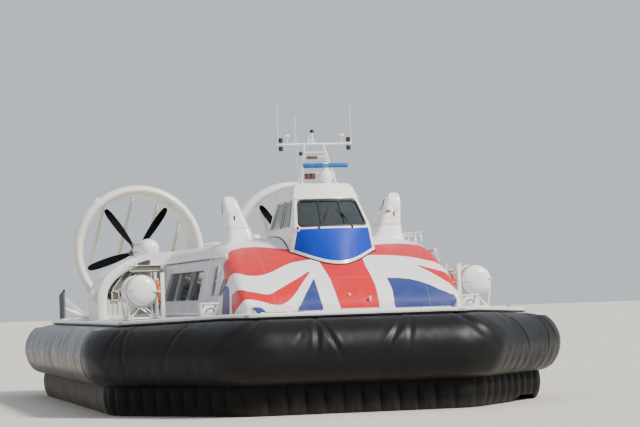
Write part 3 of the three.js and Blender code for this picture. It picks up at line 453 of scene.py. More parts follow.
FLAG_SHEETS = (("X", 1.31), ("Y", 1.15))
WHITE = Finish("gloss_white_paint", (0.88, 0.87, 0.84), 0.28, coat=0.4)
CREAM_WHITE = Finish("duct_cream_white", (0.80, 0.78, 0.70), 0.32, coat=0.3, patches=0.2, streaks=0.18)
ROOF_WHITE = Finish("roof_white_paint", (0.76, 0.77, 0.77), 0.4, coat=0.2, patches=0.2)
HOOD_WHITE = Finish(
    "hood_white_paint", (0.82, 0.81, 0.77), 0.3, coat=0.3, streaks=0.2, seams=(("X", 1.1), ("Y", 1.05))
)
DECK_PAINT = Finish(
    "deck_paint", (0.42, 0.43, 0.43), 0.7, patches=0.35, streaks=0.0, skin_scale=160.0, bump=0.25,
    specular=0.3, seams=(("X", 1.28), ("Y", 1.9)), seam_shade=0.8, slot="deck_grey",
)
# Grey paint for the cabin's sides and doors; its darkness and blue tint partly paint the shade that falls on
# the sides.
SIDE_GREY_AND_SHADE = Finish(
    "side_paint", (0.60, 0.61, 0.66), 0.38, patches=0.2, streaks=0.3, seams=(("Y", 0.93),), seam_shade=0.5,
    slot="side_grey",
)
HULL_PAINT = Finish("hull_paint", (0.36, 0.38, 0.39), 0.6, patches=0.4, slot="hull_grey")
FLAG = FlagPaint(
    "flag_paint", (0.82, 0.81, 0.80), 0.38, coat=0.12, patches=0.06, streaks=0.05, specular=0.3,
    seams=FLAG_SHEETS, seam_shade=0.28, slot="flag_red",
)
ROOF_FLAG = FlagPaint(
    "roof_flag_paint", (0.80, 0.80, 0.80), 0.42, coat=0.1, patches=0.12, specular=0.3, seams=FLAG_SHEETS
)
NOSE_BLUE = Finish(
    "nose_blue_paint", (0.012, 0.045, 0.42), 0.45, patches=0.03, streaks=0.03, specular=0.12, slot="nose_blue"
)
# The bow bag's base is darker than the side bag's, as painted shade for the shadow over its face; high up it
# also takes a faint painted sky sheen.
BOW_BAG_RUBBER_SHADED = SkirtRubber(
    "bow_bag_rubber", (0.003, 0.0028, 0.0033), 0.4, patches=0.0, bump=0.14, specular=0.22, low_band_full=0.7,
    band_split=1.2, sand_and_sheen_share=0.05, sky_sheen_share=0.03, pleats=1.6, skin_scale=40.0,
)
# The side bag's paint holds a strong painted sky reflection high up, and dust with a painted floor reflection
# low down.
SIDE_RUBBER = SkirtRubber(
    "side_bag_rubber", (0.012, 0.0125, 0.014), 0.3, patches=0.1, bump=0.3, specular=0.5, low_band_full=1.2,
    band_split=1.5, sand_and_sheen_share=0.36, sky_sheen_share=0.75, pleats=3.0, skin_scale=40.0,
)
# The bow fingers' base is darker than the side fingers', as painted shade for the shadow under the bow bag;
# the pale tint at their hem is wear.
BOW_FINGER_RUBBER_SHADED = SkirtRubber(
    "finger_rubber", (0.0035, 0.0032, 0.0034), 0.6, patches=0.02, bump=0.4, specular=0.15, low_band_full=0.0,
    band_split=0.35, sand_and_sheen_share=0.12, sky_sheen_share=0.0, pleats=5.0, skin_scale=60.0,
)
SIDE_FINGER_RUBBER = SkirtRubber(
    "side_finger_rubber", (0.022, 0.020, 0.018), 0.55, patches=0.2, bump=0.5, specular=0.3, low_band_full=0.2,
    band_split=0.8, sand_and_sheen_share=0.45, sky_sheen_share=0.2, pleats=5.0, skin_scale=60.0,
)
CREAM = Finish("rudder_cream_paint", (0.80, 0.76, 0.60), 0.4, slot="rudder_cream")
BLADE = Finish(
    "black_blade_composite", (0.004, 0.0045, 0.006), 0.6, patches=0.0, streaks=0.0, specular=0.03,
    slot="blade_black",
)
GREY = Finish("dark_grey_paint", (0.10, 0.105, 0.11), 0.5, slot="grille_grey")
GASKET = Finish(
    "black_gasket_rubber", (0.012, 0.012, 0.013), 0.5, patches=0.05, streaks=0.0, slot="grille_grey"
)
STEEL = Finish("bare_metal", (0.55, 0.56, 0.57), 0.35, metallic=0.8, slot="deck_grey")
LOUVRE = Finish("louvre_grey_brown", (0.27, 0.25, 0.22), 0.5, patches=0.3, slot="grille_grey")
BEIGE = Finish("beige_panel_paint", (0.66, 0.62, 0.54), 0.45, patches=0.3, streaks=0.3)
RADAR_BLUE = Finish("radar_blue_plastic", (0.012, 0.10, 0.40), 0.4, specular=0.3, slot="radar_blue")
HORN_RED = Finish("horn_dark_red", (0.13, 0.035, 0.025), 0.45, slot="grille_grey")
LAMP_AMBER = Finish("lamp_amber_plastic", (0.35, 0.12, 0.05), 0.3, slot="grille_grey")
BUOY = Finish("lifebuoy_orange", (0.85, 0.13, 0.03), 0.5, patches=0.1, slot="flag_red")
SEAT = Finish("seat_fabric", (0.04, 0.07, 0.17), 0.85, skin_scale=400.0, bump=0.4, slot="seat_blue")
GLASS = Glass(
    "tinted_glass", (0.035, 0.045, 0.05), 0.06, patches=0.05, streaks=0.03, bump=0.0, slot="dark_glass"
)

AXES = "XYZ"


def turn_about(axis: str, degrees: float, point: Sequence[float]) -> Matrix:
    """Returns the turn by an angle about an axis through a point."""
    move = Matrix.Translation(Vector(point))
    return move @ Matrix.Rotation(math.radians(degrees), 4, axis) @ move.inverted()


def rounded_outline(corners: Sequence[Flat], radius: float, steps: int = 5) -> list[Flat]:
    """Rounds off the corners of a flat outline.

    Args:
        corners: The outline's corners in order.
        radius: How far from a corner the rounding starts.
        steps: Stretches in each rounded corner.

    Returns:
        The points of the rounded outline.
    """
    points = []
    count = len(corners)
    for i, corner in enumerate(corners):
        here = Vector(corner)
        before, after = Vector(corners[i - 1]), Vector(corners[(i + 1) % count])
        start = here + (before - here).normalized() * min(radius, (before - here).length * 0.49)
        end = here + (after - here).normalized() * min(radius, (after - here).length * 0.49)
        for step in range(steps + 1):
            t = step / steps
            points.append(tuple(start * (1 - t) ** 2 + here * 2 * t * (1 - t) + end * t**2))
    return points


def span(low: float, high: float, steps: int) -> list[float]:
    """Returns evenly spread values from low to high."""
    return [low + (high - low) * i / steps for i in range(steps + 1)]


def full_turn(steps: int) -> list[float]:
    """Returns the angles of a full turn in radians, with its start once more at the end."""
    return span(0.0, 2 * math.pi, steps)


def both_ways(half: Sequence[float]) -> list[float]:
    """Returns values that start at 0 with the same values below 0 ahead of them."""
    return [-value for value in reversed(half)] + list(half[1:])


def breaks(marks: Sequence[float], step: float) -> list[float]:
    """Returns values that pass every mark, with gaps of about a step between them."""
    values = [marks[0]]
    for low, high in zip(marks, marks[1:]):
        values += span(low, high, max(1, round(abs(high - low) / step)))[1:]
    return values


class Bench:
    """A mesh in the making, in metres in the craft's frame, made of one or more shapes."""

    def __init__(self) -> None:
        """Starts with an empty mesh."""
        self.whole = bmesh.new()
        self.draft = bpy.data.meshes.new("draft")

    def keep(
        self, part: bmesh.types.BMesh, paint: int = 0, turn: Matrix | None = None, outwards: bool = True
    ) -> None:
        """Adds a finished shape to the mesh.

        Args:
            part: The shape, which is freed.
            paint: Which of the piece's finishes it takes, or -1 where its faces know it already.
            turn: A last turn or move.
            outwards: Whether its normals are worked out again.
        """
        if turn is not None:
            bmesh.ops.transform(part, matrix=turn, verts=part.verts)
        if outwards:
            bmesh.ops.recalc_face_normals(part, faces=part.faces)
        if paint >= 0:
            for face in part.faces:
                face.material_index = paint
        part.to_mesh(self.draft)
        part.free()
        self.whole.from_mesh(self.draft)

    def block(
        self, low: Point, high: Point, bevel: float = 0.0, paint: int = 0, turn: Matrix | None = None
    ) -> None:
        """Adds a block between two corners, with its edges rounded off."""
        part = bmesh.new()
        middle = (Vector(low) + Vector(high)) / 2
        size = Vector(high) - Vector(low)
        bmesh.ops.create_cube(
            part, size=1.0, matrix=Matrix.Translation(middle) @ Matrix.Diagonal((*size, 1.0))
        )
        self.bevel(part, bevel)
        self.keep(part, paint, turn)

    def side_block(self, side: Side, x: Flat, y: Flat, z: Flat, bevel: float = 0.0, paint: int = 0) -> None:
        """Adds a block on one side of the craft by its spans, with X as a distance from the centreline."""
        low, high = sorted((side.value * x[0], side.value * x[1]))
        self.block((low, y[0], z[0]), (high, y[1], z[1]), bevel, paint)

    def bevel(self, part: bmesh.types.BMesh, width: float, least: float = 30.0, segments: int = 2) -> None:
        """Rounds off the edges of a shape that are sharper than an angle in degrees."""
        if width <= 0:
            return
        limit = math.radians(least)
        sharp = [e for e in part.edges if len(e.link_faces) == 2 and e.calc_face_angle(0.0) > limit]
        bmesh.ops.bevel(
            part, geom=sharp, offset=width, segments=segments, profile=0.5, affect="EDGES", material=-1,
            clamp_overlap=True,
        )

    def prism(
        self, outline: Sequence[Flat], axis: str, start: float, end: float, bevel: float = 0.0,
        paint: int = 0, turn: Matrix | None = None,
    ) -> None:
        """Adds a flat outline that runs along an axis.

        Args:
            outline: Points in the other two coordinates, in the order X, Y, Z.
            axis: The axis that the outline runs along.
            start: Where it starts.
            end: Where it ends.
            bevel: How far its sharp edges are rounded off.
            paint: Which of the piece's finishes it takes.
            turn: A last turn or move.
        """
        part = bmesh.new()
        at = AXES.index(axis)
        corners = []
        for a, b in outline:
            place = [a, b]
            place.insert(at, start)
            corners.append(part.verts.new(place))
        face = part.faces.new(corners)
        moved = bmesh.ops.extrude_face_region(part, geom=[face])["geom"]
        way = Vector((0.0, 0.0, 0.0))
        way[at] = end - start
        bmesh.ops.translate(part, verts=[v for v in moved if isinstance(v, bmesh.types.BMVert)], vec=way)
        bmesh.ops.recalc_face_normals(part, faces=part.faces)
        self.bevel(part, bevel)
        self.keep(part, paint, turn)

    def sheet(
        self,
        across: Sequence[float],
        along: Sequence[float],
        place: Callable[[float, float], Sequence[float]],
        skip: Callable[[float, float], bool] | None = None,
        wrap: bool = False,
        cap: bool = False,
        wall: float = 0.0,
        fields: dict[str, Callable[[float, float], float]] | None = None,
        paint: int | Callable[[float, float], int] = 0,
        turn: Matrix | None = None,
    ) -> None:
        """Adds a grid whose points a function places.

        Args:
            across: The first coordinate of the grid's lines.
            along: The second coordinate of the grid's lines.
            place: Returns the point for a pair of coordinates.
            skip: Says which faces are left out, by the coordinates of their middle.
            wrap: Whether lines meet where the grid closes on itself.
            cap: Whether the open ends are closed by faces.
            wall: Thickness that the sheet gets, or 0.
            fields: Numbers that the mesh keeps by name for its finish.
            paint: Which of the piece's finishes a face takes.
            turn: A last turn or move.
        """
        part = bmesh.new()
        wide, long = len(across) - 1, len(along) - 1
        bmesh.ops.create_grid(part, x_segments=wide, y_segments=long, size=1.0)

        def cell(value: float, marks: Sequence[float]) -> float:
            """Returns the middle between the two marks that a grid coordinate lies between."""
            steps = len(marks) - 1
            index = min(steps - 1, max(0, int((value + 1) / 2 * steps)))
            return (marks[index] + marks[index + 1]) / 2

        dropped = []
        for face in part.faces:
            middle = face.calc_center_median()
            u, v = cell(middle.x, across), cell(middle.y, along)
            face.material_index = paint(u, v) if callable(paint) else paint
            if skip and skip(u, v):
                dropped.append(face)
        layers = {name: part.verts.layers.float.new(name) for name in (fields or {})}
        for vertex in part.verts:
            u = across[round((vertex.co.x + 1) / 2 * wide)]
            v = along[round((vertex.co.y + 1) / 2 * long)]
            for name, layer in layers.items():
                vertex[layer] = fields[name](u, v)
            vertex.co = place(u, v)
        bmesh.ops.delete(part, geom=dropped, context="FACES")
        if wrap:
            bmesh.ops.remove_doubles(part, verts=part.verts, dist=1e-5)
        if cap:
            bmesh.ops.holes_fill(part, edges=[e for e in part.edges if e.is_boundary], sides=0)
        bmesh.ops.recalc_face_normals(part, faces=part.faces)
        if wall:
            bmesh.ops.solidify(part, geom=part.faces[:], thickness=wall)
            bmesh.ops.recalc_face_normals(part, faces=part.faces)
        self.keep(part, -1, turn, outwards=False)

    def sweep(
        self,
        stations: Sequence[float],
        section: Sequence[Sequence[float]],
        place: Callable[..., Sequence[float]],
        cap: bool = False,
        paint: int = 0,
    ) -> None:
        """Adds a closed section that runs along stations.

        Args:
            stations: Where the section stands, in order.
            section: The numbers of each of its points.
            place: Returns the point for a station and the numbers of one point.
            cap: Whether the two ends are closed by faces.
            paint: Which of the piece's finishes it takes.
        """
        count = len(section)
        self.sheet(
            stations, range(count + 1), lambda station, index: place(station, *section[int(index) % count]),
            wrap=True, cap=cap, paint=paint,
        )

    def tube(
        self, path: Sequence[Sequence[float]], radius: float | Sequence[float], sides: int = 12,
        closed: bool = False, paint: int = 0, turn: Matrix | None = None,
    ) -> None:
        """Adds a round tube along a path.

        Args:
            path: Points that its middle follows.
            radius: Its radius, or one for each point.
            sides: Faces round it.
            closed: Whether the path leads back to its start.
            paint: Which of the piece's finishes it takes.
            turn: A last turn or move.
        """
        points = [Vector(p) for p in path]
        if closed:
            points.append(points[0])
        count = len(points)
        radii = list(radius) if isinstance(radius, (list, tuple)) else [radius] * count
        ways = []
        for i in range(count):
            before = points[i - 1] if i else (points[-2] if closed else points[0])
            after = points[i + 1] if i < count - 1 else (points[1] if closed else points[-1])
            ways.append((after - before).normalized())
        normal = ways[0].orthogonal().normalized()
        frames = []
        for way in ways:
            normal = (normal - way * normal.dot(way)).normalized()
            frames.append((normal, way.cross(normal)))
        if closed:
            frames[-1] = frames[0]

        def place(i: float, angle: float) -> Vector:
            """Places a point of the tube's skin round one point of its path."""
            a, b = frames[int(i)]
            return points[int(i)] + (a * math.cos(angle) + b * math.sin(angle)) * radii[int(i)]

        self.sheet(range(count), full_turn(sides), place, wrap=True, cap=not closed, paint=paint, turn=turn)

    def spin(
        self, profile: Sequence[Flat], centre: Point, axis: str, steps: int = 32, closed: bool = False,
        paint: int = 0, turn: Matrix | None = None,
    ) -> None:
        """Adds a shape that is turned about an axis.

        Args:
            profile: Radius and place along the axis, point by point.
            centre: A point on the axis, where the place along it is 0.
            axis: X, Y or Z.
            steps: Faces round it.
            closed: Whether the profile leads back to its start.
            paint: Which of the piece's finishes it takes.
            turn: A last turn or move.
        """
        part = bmesh.new()
        at = AXES.index(axis)
        line = []
        for radius, along in profile:
            place = Vector(centre)
            place[at] += along
            place[(at + 1) % 3] += radius
            line.append(part.verts.new(place))
        edges = [part.edges.new(pair) for pair in zip(line, line[1:])]
        if closed:
            edges.append(part.edges.new((line[-1], line[0])))
        way = Vector((0.0, 0.0, 0.0))
        way[at] = 1.0
        bmesh.ops.spin(
            part, geom=line + edges, cent=centre, axis=way, dvec=(0.0, 0.0, 0.0), angle=2 * math.pi,
            steps=steps, use_merge=True, use_duplicate=False,
        )
        bmesh.ops.remove_doubles(part, verts=part.verts, dist=1e-5)
        self.keep(part, paint, turn)

    def band(
        self, inner: float, outer: float, half: float, centre: Point, ease: float = 0.0, paint: int = 0,
        turn: Matrix | None = None,
    ) -> None:
        """Adds a flat band round an axis along Y.

        Args:
            inner: Its inner radius.
            outer: Its outer radius.
            half: Half of its width.
            centre: Its middle.
            ease: How much narrower it is at its outer radius, on each side.
            paint: Which of the piece's finishes it takes.
            turn: A last turn or move.
        """
        crest = half - ease
        profile = [(inner, -half), (outer, -crest), (outer, crest), (inner, half)]
        self.spin(profile, centre, "Y", 56, closed=True, paint=paint, turn=turn)

    def ball(self, centre: Point, radii: Point, paint: int = 0, turn: Matrix | None = None) -> None:
        """Adds a ball with its own radius along each axis."""
        part = bmesh.new()
        shape = Matrix.Translation(Vector(centre)) @ Matrix.Diagonal((*radii, 1.0))
        bmesh.ops.create_uvsphere(part, u_segments=20, v_segments=12, radius=1.0, matrix=shape)
        self.keep(part, paint, turn)

    def copy_node(
        self, node: str, bevel: float = 0.008, paint: Callable[[Vector, Vector], int] | None = None
    ) -> None:
        """Adds a refined copy of a node's mesh.

        Args:
            node: The node's name.
            bevel: How far its sharp edges are rounded off.
            paint: Returns which of the piece's finishes a face takes, by its middle and its normal.
        """
        part = bmesh.new()
        part.from_mesh(bpy.data.objects[node].data)
        bmesh.ops.remove_doubles(part, verts=part.verts, dist=2e-5)
        bmesh.ops.dissolve_limit(
            part, angle_limit=math.radians(0.6), use_dissolve_boundaries=False, verts=part.verts,
            edges=part.edges,
        )
        self.bevel(part, bevel, 28.0)
        for face in part.faces:
            face.material_index = paint(face.calc_center_median(), face.normal) if paint else 0
        self.keep(part, -1)

    def finish(
        self, name: str, *finishes: Finish, body: str = ROOT, replaces: Iterable[str] = (),
        angle: float = 35.0, weighted: bool = False,
    ) -> bpy.types.Object:
        """Makes the piece.

        Args:
            name: The piece's name.
            finishes: Its finishes, in the order of the paint numbers.
            body: The body that it rides on.
            replaces: Nodes that it stands for.
            angle: Edges sharper than this many degrees stay sharp.
            weighted: Whether large faces hold their shading flat next to rounded edges.

        Returns:
            The new object.
        """
        mesh = bpy.data.meshes.new(name)
        self.whole.to_mesh(mesh)
        self.whole.free()
        bpy.data.meshes.remove(self.draft)
        for finish in finishes:
            mesh.materials.append(finish.build())
        mesh.shade_smooth()
        mesh.set_sharp_from_angle(angle=math.radians(angle))
        piece = bpy.data.objects.new(name, mesh)
        bpy.context.scene.collection.objects.link(piece)
        if weighted:
            modifier = piece.modifiers.new("flat faces", "WEIGHTED_NORMAL")
            modifier.keep_sharp = True
        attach(piece, body)
        if replaces:
            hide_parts(*replaces)
        log.info("%s: %d faces on %s", name, len(mesh.polygons), body)
        return piece


def refined_copy(
    node: str, name: str, finish: Finish, bevel: float, body: str = ROOT, weighted: bool = True
) -> None:
    """Makes a piece that stands for one node, with the node's shape and rounded edges.

    Args:
        node: The node's name.
        name: The piece's name.
        finish: The piece's finish.
        bevel: How far its sharp edges are rounded off.
        body: The body that it rides on.
        weighted: Whether large faces hold their shading flat next to rounded edges.
    """
    bench = Bench()
    bench.copy_node(node, bevel)
    bench.finish(name, finish, body=body, replaces=(node,), weighted=weighted)


@dataclass(frozen=True)
class Crease:
    """A fold pressed into the bag's face, from one place along the bow and height to another."""

    start: Flat
    end: Flat
    depth: float
    width: float

    def press(self, along: float, height: float) -> float:
        """Returns how far the fold pushes the face in at a place."""
        a, b = Vector(self.start), Vector(self.end)
        here = Vector((along, height))
        share = (here - a).dot(b - a) / (b - a).length_squared
        clamped = min(1.0, max(0.0, share))
        distance = (here - a.lerp(b, clamped)).length
        taper = 1.0 - 0.75 * clamped
        shoulder = 0.35 * math.exp(-(((distance - 2.2 * self.width) / (1.2 * self.width)) ** 2))
        return self.depth * taper * (math.exp(-((distance / self.width) ** 2)) - shoulder)


class DeckEdge:
    """The line of the deck's edge all round, with its corners eased, read by the distance along it."""

    def __init__(self, reach: float = 0.42) -> None:
        """Samples the line from the middle of the stern, round the starboard side, the bow and the port side.

        Args:
            reach: How far from a corner its easing starts.
        """
        port = [Vector(p) for p in DECK_PLAN]
        starboard = [Vector((-x, y)) for x, y in DECK_PLAN]
        middle = Vector((0.0, STERN_Y))
        corners = [middle, *reversed(starboard), *port, middle]
        dense: list[Vector] = [middle]
        for before, here, after in zip(corners, corners[1:], corners[2:]):
            start = here + (before - here).normalized() * reach
            end = here + (after - here).normalized() * reach
            for share in span(0.0, 1.0, 24):
                dense.append(start * (1 - share) ** 2 + here * 2 * share * (1 - share) + end * share**2)
        dense.append(middle)
        self.points = dense
        self.lengths = [0.0]
        for a, b in zip(dense, dense[1:]):
            self.lengths.append(self.lengths[-1] + (b - a).length)
        self.middle = self._length_at(lambda p: p.y < 0, 0.0)

    def _length_at(self, wanted: Callable[[Vector], bool], x: float) -> float:
        """Returns the distance along the line where it passes an X on a wanted stretch."""
        for i, (a, b) in enumerate(zip(self.points, self.points[1:])):
            if wanted(a) and wanted(b) and a.x <= x <= b.x:
                share = (x - a.x) / (b.x - a.x)
                return self.lengths[i] + share * (b - a).length
        raise ValueError("the line doesn't pass there")

    def length_at_y(self, side: Side, y: float) -> float:
        """Returns the distance along the line, from the bow's middle, of a place on a straight side."""
        for i, (a, b) in enumerate(zip(self.points, self.points[1:])):
            low, high = sorted((a.y, b.y))
            if a.x * side.value > 5.2 and b.x * side.value > 5.2 and low <= y <= high and high > low:
                share = (y - a.y) / (b.y - a.y)
                return self.lengths[i] + share * (b - a).length - self.middle
        raise ValueError("the line doesn't pass there")

    @property
    def half(self) -> float:
        """Half of the line's whole length."""
        return self.lengths[-1] / 2

    def at(self, distance: float) -> tuple[Vector, Vector]:
        """Returns the place and the way out at a distance from the bow's middle, positive to port."""
        where = (distance + self.middle) % self.lengths[-1]
        low = bisect.bisect_right(self.lengths, where) - 1
        a, b = self.points[low], self.points[low + 1]
        share = (where - self.lengths[low]) / max(1e-9, self.lengths[low + 1] - self.lengths[low])
        before = self._way(low - 1)
        here = self._way(low)
        after = self._way(low + 1)
        way = (before.lerp(here, share + 0.5) if share < 0.5 else here.lerp(after, share - 0.5)).normalized()
        return a.lerp(b, share), Vector((way.y, -way.x))

    def _way(self, i: int) -> Vector:
        """Returns the direction of one stretch of the line."""
        count = len(self.points) - 1
        return (self.points[(i % count) + 1] - self.points[i % count]).normalized()

    def place(self, distance: float, out: float, height: float) -> Vector:
        """Returns the point that lies a way out from the line at a height."""
        point, normal = self.at(distance)
        lowered = DECK_TOP - deck_height(point.x) if height > 2.2 else 0.0
        return Vector((point.x + normal.x * out, point.y + normal.y * out, height - lowered))


@dataclass
class Skirt:
    """The inflated bag round the deck's edge and the row of fingers under it."""

    seam_y: float = -6.5
    seam_back: float = 8.55
    run_gap: float = 0.002
    bag: Outline = (
        (-0.17, 2.362), (0.06, 2.352), (0.38, 2.29), (0.70, 2.09), (0.885, 1.81), (0.95, 1.5), (0.89, 1.18),
        (0.74, 0.92), (0.56, 0.79), (0.38, 0.74),
    )
    finger_rows: tuple[Row, ...] = (
        (0.735, 0.300, -0.64, 0.050), (0.60, 0.305, -0.61, 0.075), (0.42, 0.30, -0.56, 0.088),
        (0.25, 0.28, -0.42, 0.088), (0.13, 0.255, -0.30, 0.075), (0.0, 0.215, -0.15, 0.045),
    )
    finger_pitch: float = 0.46
    finger_levels: Row = (1.0, 0.93, 0.82, 0.7, 0.58, 0.46, 0.35, 0.25, 0.16, 0.08, 0.03, 0.0)
    finger_back: Row = (0.0, 0.08, 0.3, 0.6, 1.0)
    rim: Outline = (
        (0.020, 2.405), (0.062, 2.41), (0.070, 2.43), (0.070, 2.475), (0.055, 2.492), (-0.03, 2.492),
        (-0.03, 2.474), (0.004, 2.472), (0.004, 2.405),
    )
    # Section of the black strip under the rim that paints the shadow line over the bag.
    shadow_strip: Outline = ((0.004, 2.40), (0.035, 2.40), (0.035, 2.37), (0.004, 2.37))
    creases: tuple[Crease, ...] = (
        Crease((-2.51, 2.34), (-3.08, 1.50), 0.060, 0.055),
        Crease((-2.35, 2.34), (-2.46, 2.00), 0.030, 0.035),
        Crease((-1.07, 2.34), (-0.58, 1.30), 0.050, 0.050),
        Crease((-1.13, 2.34), (-1.30, 1.10), 0.050, 0.055),
        Crease((1.03, 2.32), (0.27, 1.30), 0.055, 0.050),
        Crease((1.23, 2.28), (1.04, 1.65), 0.035, 0.040),
        Crease((2.45, 2.34), (2.86, 1.45), 0.060, 0.055),
        Crease((-1.57, 1.95), (-1.76, 1.75), 0.020, 0.040),
        Crease((0.67, 2.20), (0.47, 2.05), 0.020, 0.040),
        Crease((1.66, 1.45), (1.38, 1.28), 0.018, 0.040),
        Crease((-4.3, 2.25), (-4.75, 1.2), 0.035, 0.050),
        Crease((4.3, 2.25), (4.75, 1.2), 0.035, 0.050),
        Crease((-6.2, 2.3), (-6.05, 1.1), 0.040, 0.050),
        Crease((6.2, 2.3), (6.05, 1.1), 0.040, 0.050),
        Crease((-6.45, 2.2), (-6.75, 1.3), 0.035, 0.045),
        Crease((6.45, 2.2), (6.75, 1.3), 0.035, 0.045),
    )
    edge: DeckEdge = field(default_factory=DeckEdge)

    def runs(self) -> list[tuple[str, float, float]]:
        """Returns each run of the skirt with the distances of its ends from the bow's middle."""
        front = self.edge.length_at_y(Side.PORT, self.seam_y)
        back = self.edge.length_at_y(Side.PORT, self.seam_back)
        gap = self.run_gap
        return [
            ("bow", -front + gap, front - gap),
            ("port", front + gap, back - gap),
            ("stern", back + gap, 2 * self.edge.half - back - gap),
            ("starboard", -back + gap, -front - gap),
        ]

    def bag_line(self) -> list[tuple[float, float, float]]:
        """Returns the bag's section all round as reach, height and share of the soft outer face."""
        outer = round_path(self.bag, 5)
        line = [(p.x, p.y, math.sin(math.pi * i / (len(outer) - 1)) ** 0.5) for i, p in enumerate(outer)]
        back = ((0.0, 0.736), (-0.33, 0.736), (-0.66, 0.736), (-0.66, 1.7), (-0.66, 2.292), (-0.42, 2.33))
        return line + [(reach, height, 0.0) for reach, height in back]

    def slack(self, name: str, distance: float, height: float) -> float:
        """Returns how far the bag's face stands out of its smooth shape at a place."""
        soft = noise.noise(Vector((distance * 0.9, height * 1.3, 3.0))) * 0.012
        fine = noise.noise(Vector((distance * 5.0, height * 4.0, 9.0))) * 0.0035
        move = soft + fine
        if name != "bow":
            low = 1.0 - smooth_step(height, 1.25, 1.75)
            drift = 1.5 * noise.noise(Vector((distance * 0.7, 0.0, 1.0)))
            wave = math.sin(distance * 2 * math.pi / 0.31 + drift)
            tall = noise.noise(Vector((distance * 3.1, height * 0.5, 5.0)))
            move += low * (0.010 * wave + 0.012 * tall)
            fold = abs(math.sin(distance * math.pi / 1.84 + 0.4))
            move -= 0.022 * math.exp(-((fold / 0.05) ** 2)) * (1.0 - 0.5 * low)
        else:
            under = 1.0 - smooth_step(height, 1.0, 1.5)
            wave = math.sin(distance * 2 * math.pi / self.finger_pitch)
            move += under * 0.010 * wave
        for crease in self.creases:
            middle = (crease.start[0] + crease.end[0]) / 2
            if abs(distance - middle) < 1.2:
                move -= crease.press(distance, height)
        return move

    def build_bag(self, name: str, start: float, end: float) -> None:
        """Builds one run of the bag."""
        stations = span(start, end, max(8, round(abs(end - start) / 0.055)))

        def place(distance: float, reach: float, height: float, soft: float) -> Vector:
            """Places a point of the section, moved by the slack of the soft outer face."""
            move = self.slack(name, distance, height) * soft if soft else 0.0
            lift = 0.25 * move if height > 1.5 else -0.1 * move
            return self.edge.place(distance, reach + move, height + lift)

        bench = Bench()
        bench.sweep(stations, self.bag_line(), place, cap=True)
        rubber = BOW_BAG_RUBBER_SHADED if name == "bow" else SIDE_RUBBER
        bench.finish("bag_" + name, rubber, replaces=("skirt_bag_" + name,), angle=60.0)

    def build_fingers(self, name: str, start: float, end: float) -> None:
        """Builds one run of fingers as separate swollen panels that hang side by side."""
        number = max(1, round(abs(end - start) / self.finger_pitch))
        steps = 14
        stations = span(start, end, number * steps)
        table = SmoothTable(self.finger_rows[::-1])
        section = [(share, True) for share in self.finger_levels]
        section += [(share, False) for share in self.finger_back]
        top = self.finger_rows[0][0]

        def place(distance: float, share: float, outer_face: bool) -> Vector:
            """Places a point of a finger's outer or inner face, from its hem at 0 to its top at 1."""
            across = (distance - start) / (end - start) * number
            finger = min(number - 1, int(across + 1e-6))
            within = across - finger
            seed = Vector((finger * 1.7 + start, 4.0, 2.0))
            wear = 0.5 + 0.5 * noise.noise(seed)
            frayed = 0.5 + 0.5 * noise.noise(Vector((distance * 6.0, 1.0, 7.0)))
            hem = 0.004 + 0.035 * wear * frayed * (1.0 if finger % 3 else 0.2)
            if name == "bow" and distance > 5.0:
                hem += 0.14 * smooth_step(distance, 5.0, 5.6) * (1.0 - smooth_step(distance, 6.6, 7.2))
            height = hem + (top - hem) * share
            outer, inner, swell = table.at(height)
            if not outer_face:
                return self.edge.place(distance, inner + 0.03 if share < 1.0 else inner, height)
            round_out = 1.0 - abs(2 * within - 1.0) ** 2.6
            lean = 0.02 * noise.noise(Vector((finger * 2.3, 8.0, start)))
            fold = 0.010 * noise.noise(Vector((distance * 7.0, height * 1.5, 3.0)))
            pleat = 0.014 * math.exp(-(((within - 0.5 - 0.2 * noise.noise(seed * 2.0)) / 0.05) ** 2))
            low = 1.0 - share
            move = swell * round_out + (lean - pleat) * low * round_out + fold * min(1.0, 2 * low)
            return self.edge.place(distance, outer + move, height)

        bench = Bench()
        bench.sweep(stations, section, place, cap=True)
        rubber = BOW_FINGER_RUBBER_SHADED if name == "bow" else SIDE_FINGER_RUBBER
        bench.finish("fingers_" + name, rubber, replaces=("skirt_fingers_" + name,), angle=50.0)

    def build_bands(self) -> None:
        """Builds the white rim round the deck and, under it, a black strip that paints the shadow line
        between the rim and the bag.
        """
        bench = Bench()
        stations = span(-self.edge.half, self.edge.half, 900)
        bench.sweep(stations, self.rim, self.edge.place)
        # Painted shadow: a black strip in the gap under the rim.
        bench.sweep(stations, self.shadow_strip, self.edge.place, paint=1)
        bench.finish("deck_rim", WHITE, GASKET, angle=40.0)

    def build(self) -> None:
        """Builds the whole skirt."""
        for name, start, end in self.runs():
            self.build_bag(name, start, end)
            self.build_fingers(name, start, end)
        self.build_bands()


@dataclass(frozen=True)
class Field:
    """One painted field of the livery, as an outline in share across the cabin and Y."""

    outline: Outline
    curved: bool = False
    across: float = 3.6

    def border(self) -> list[Vector]:
        """Returns the outline's points in metres on the skin."""
        points = [Vector(p) for p in self.outline]
        if self.curved:
            points = round_path(points, 4, closed=True)
        return [Vector((p.x * self.across, p.y)) for p in points]


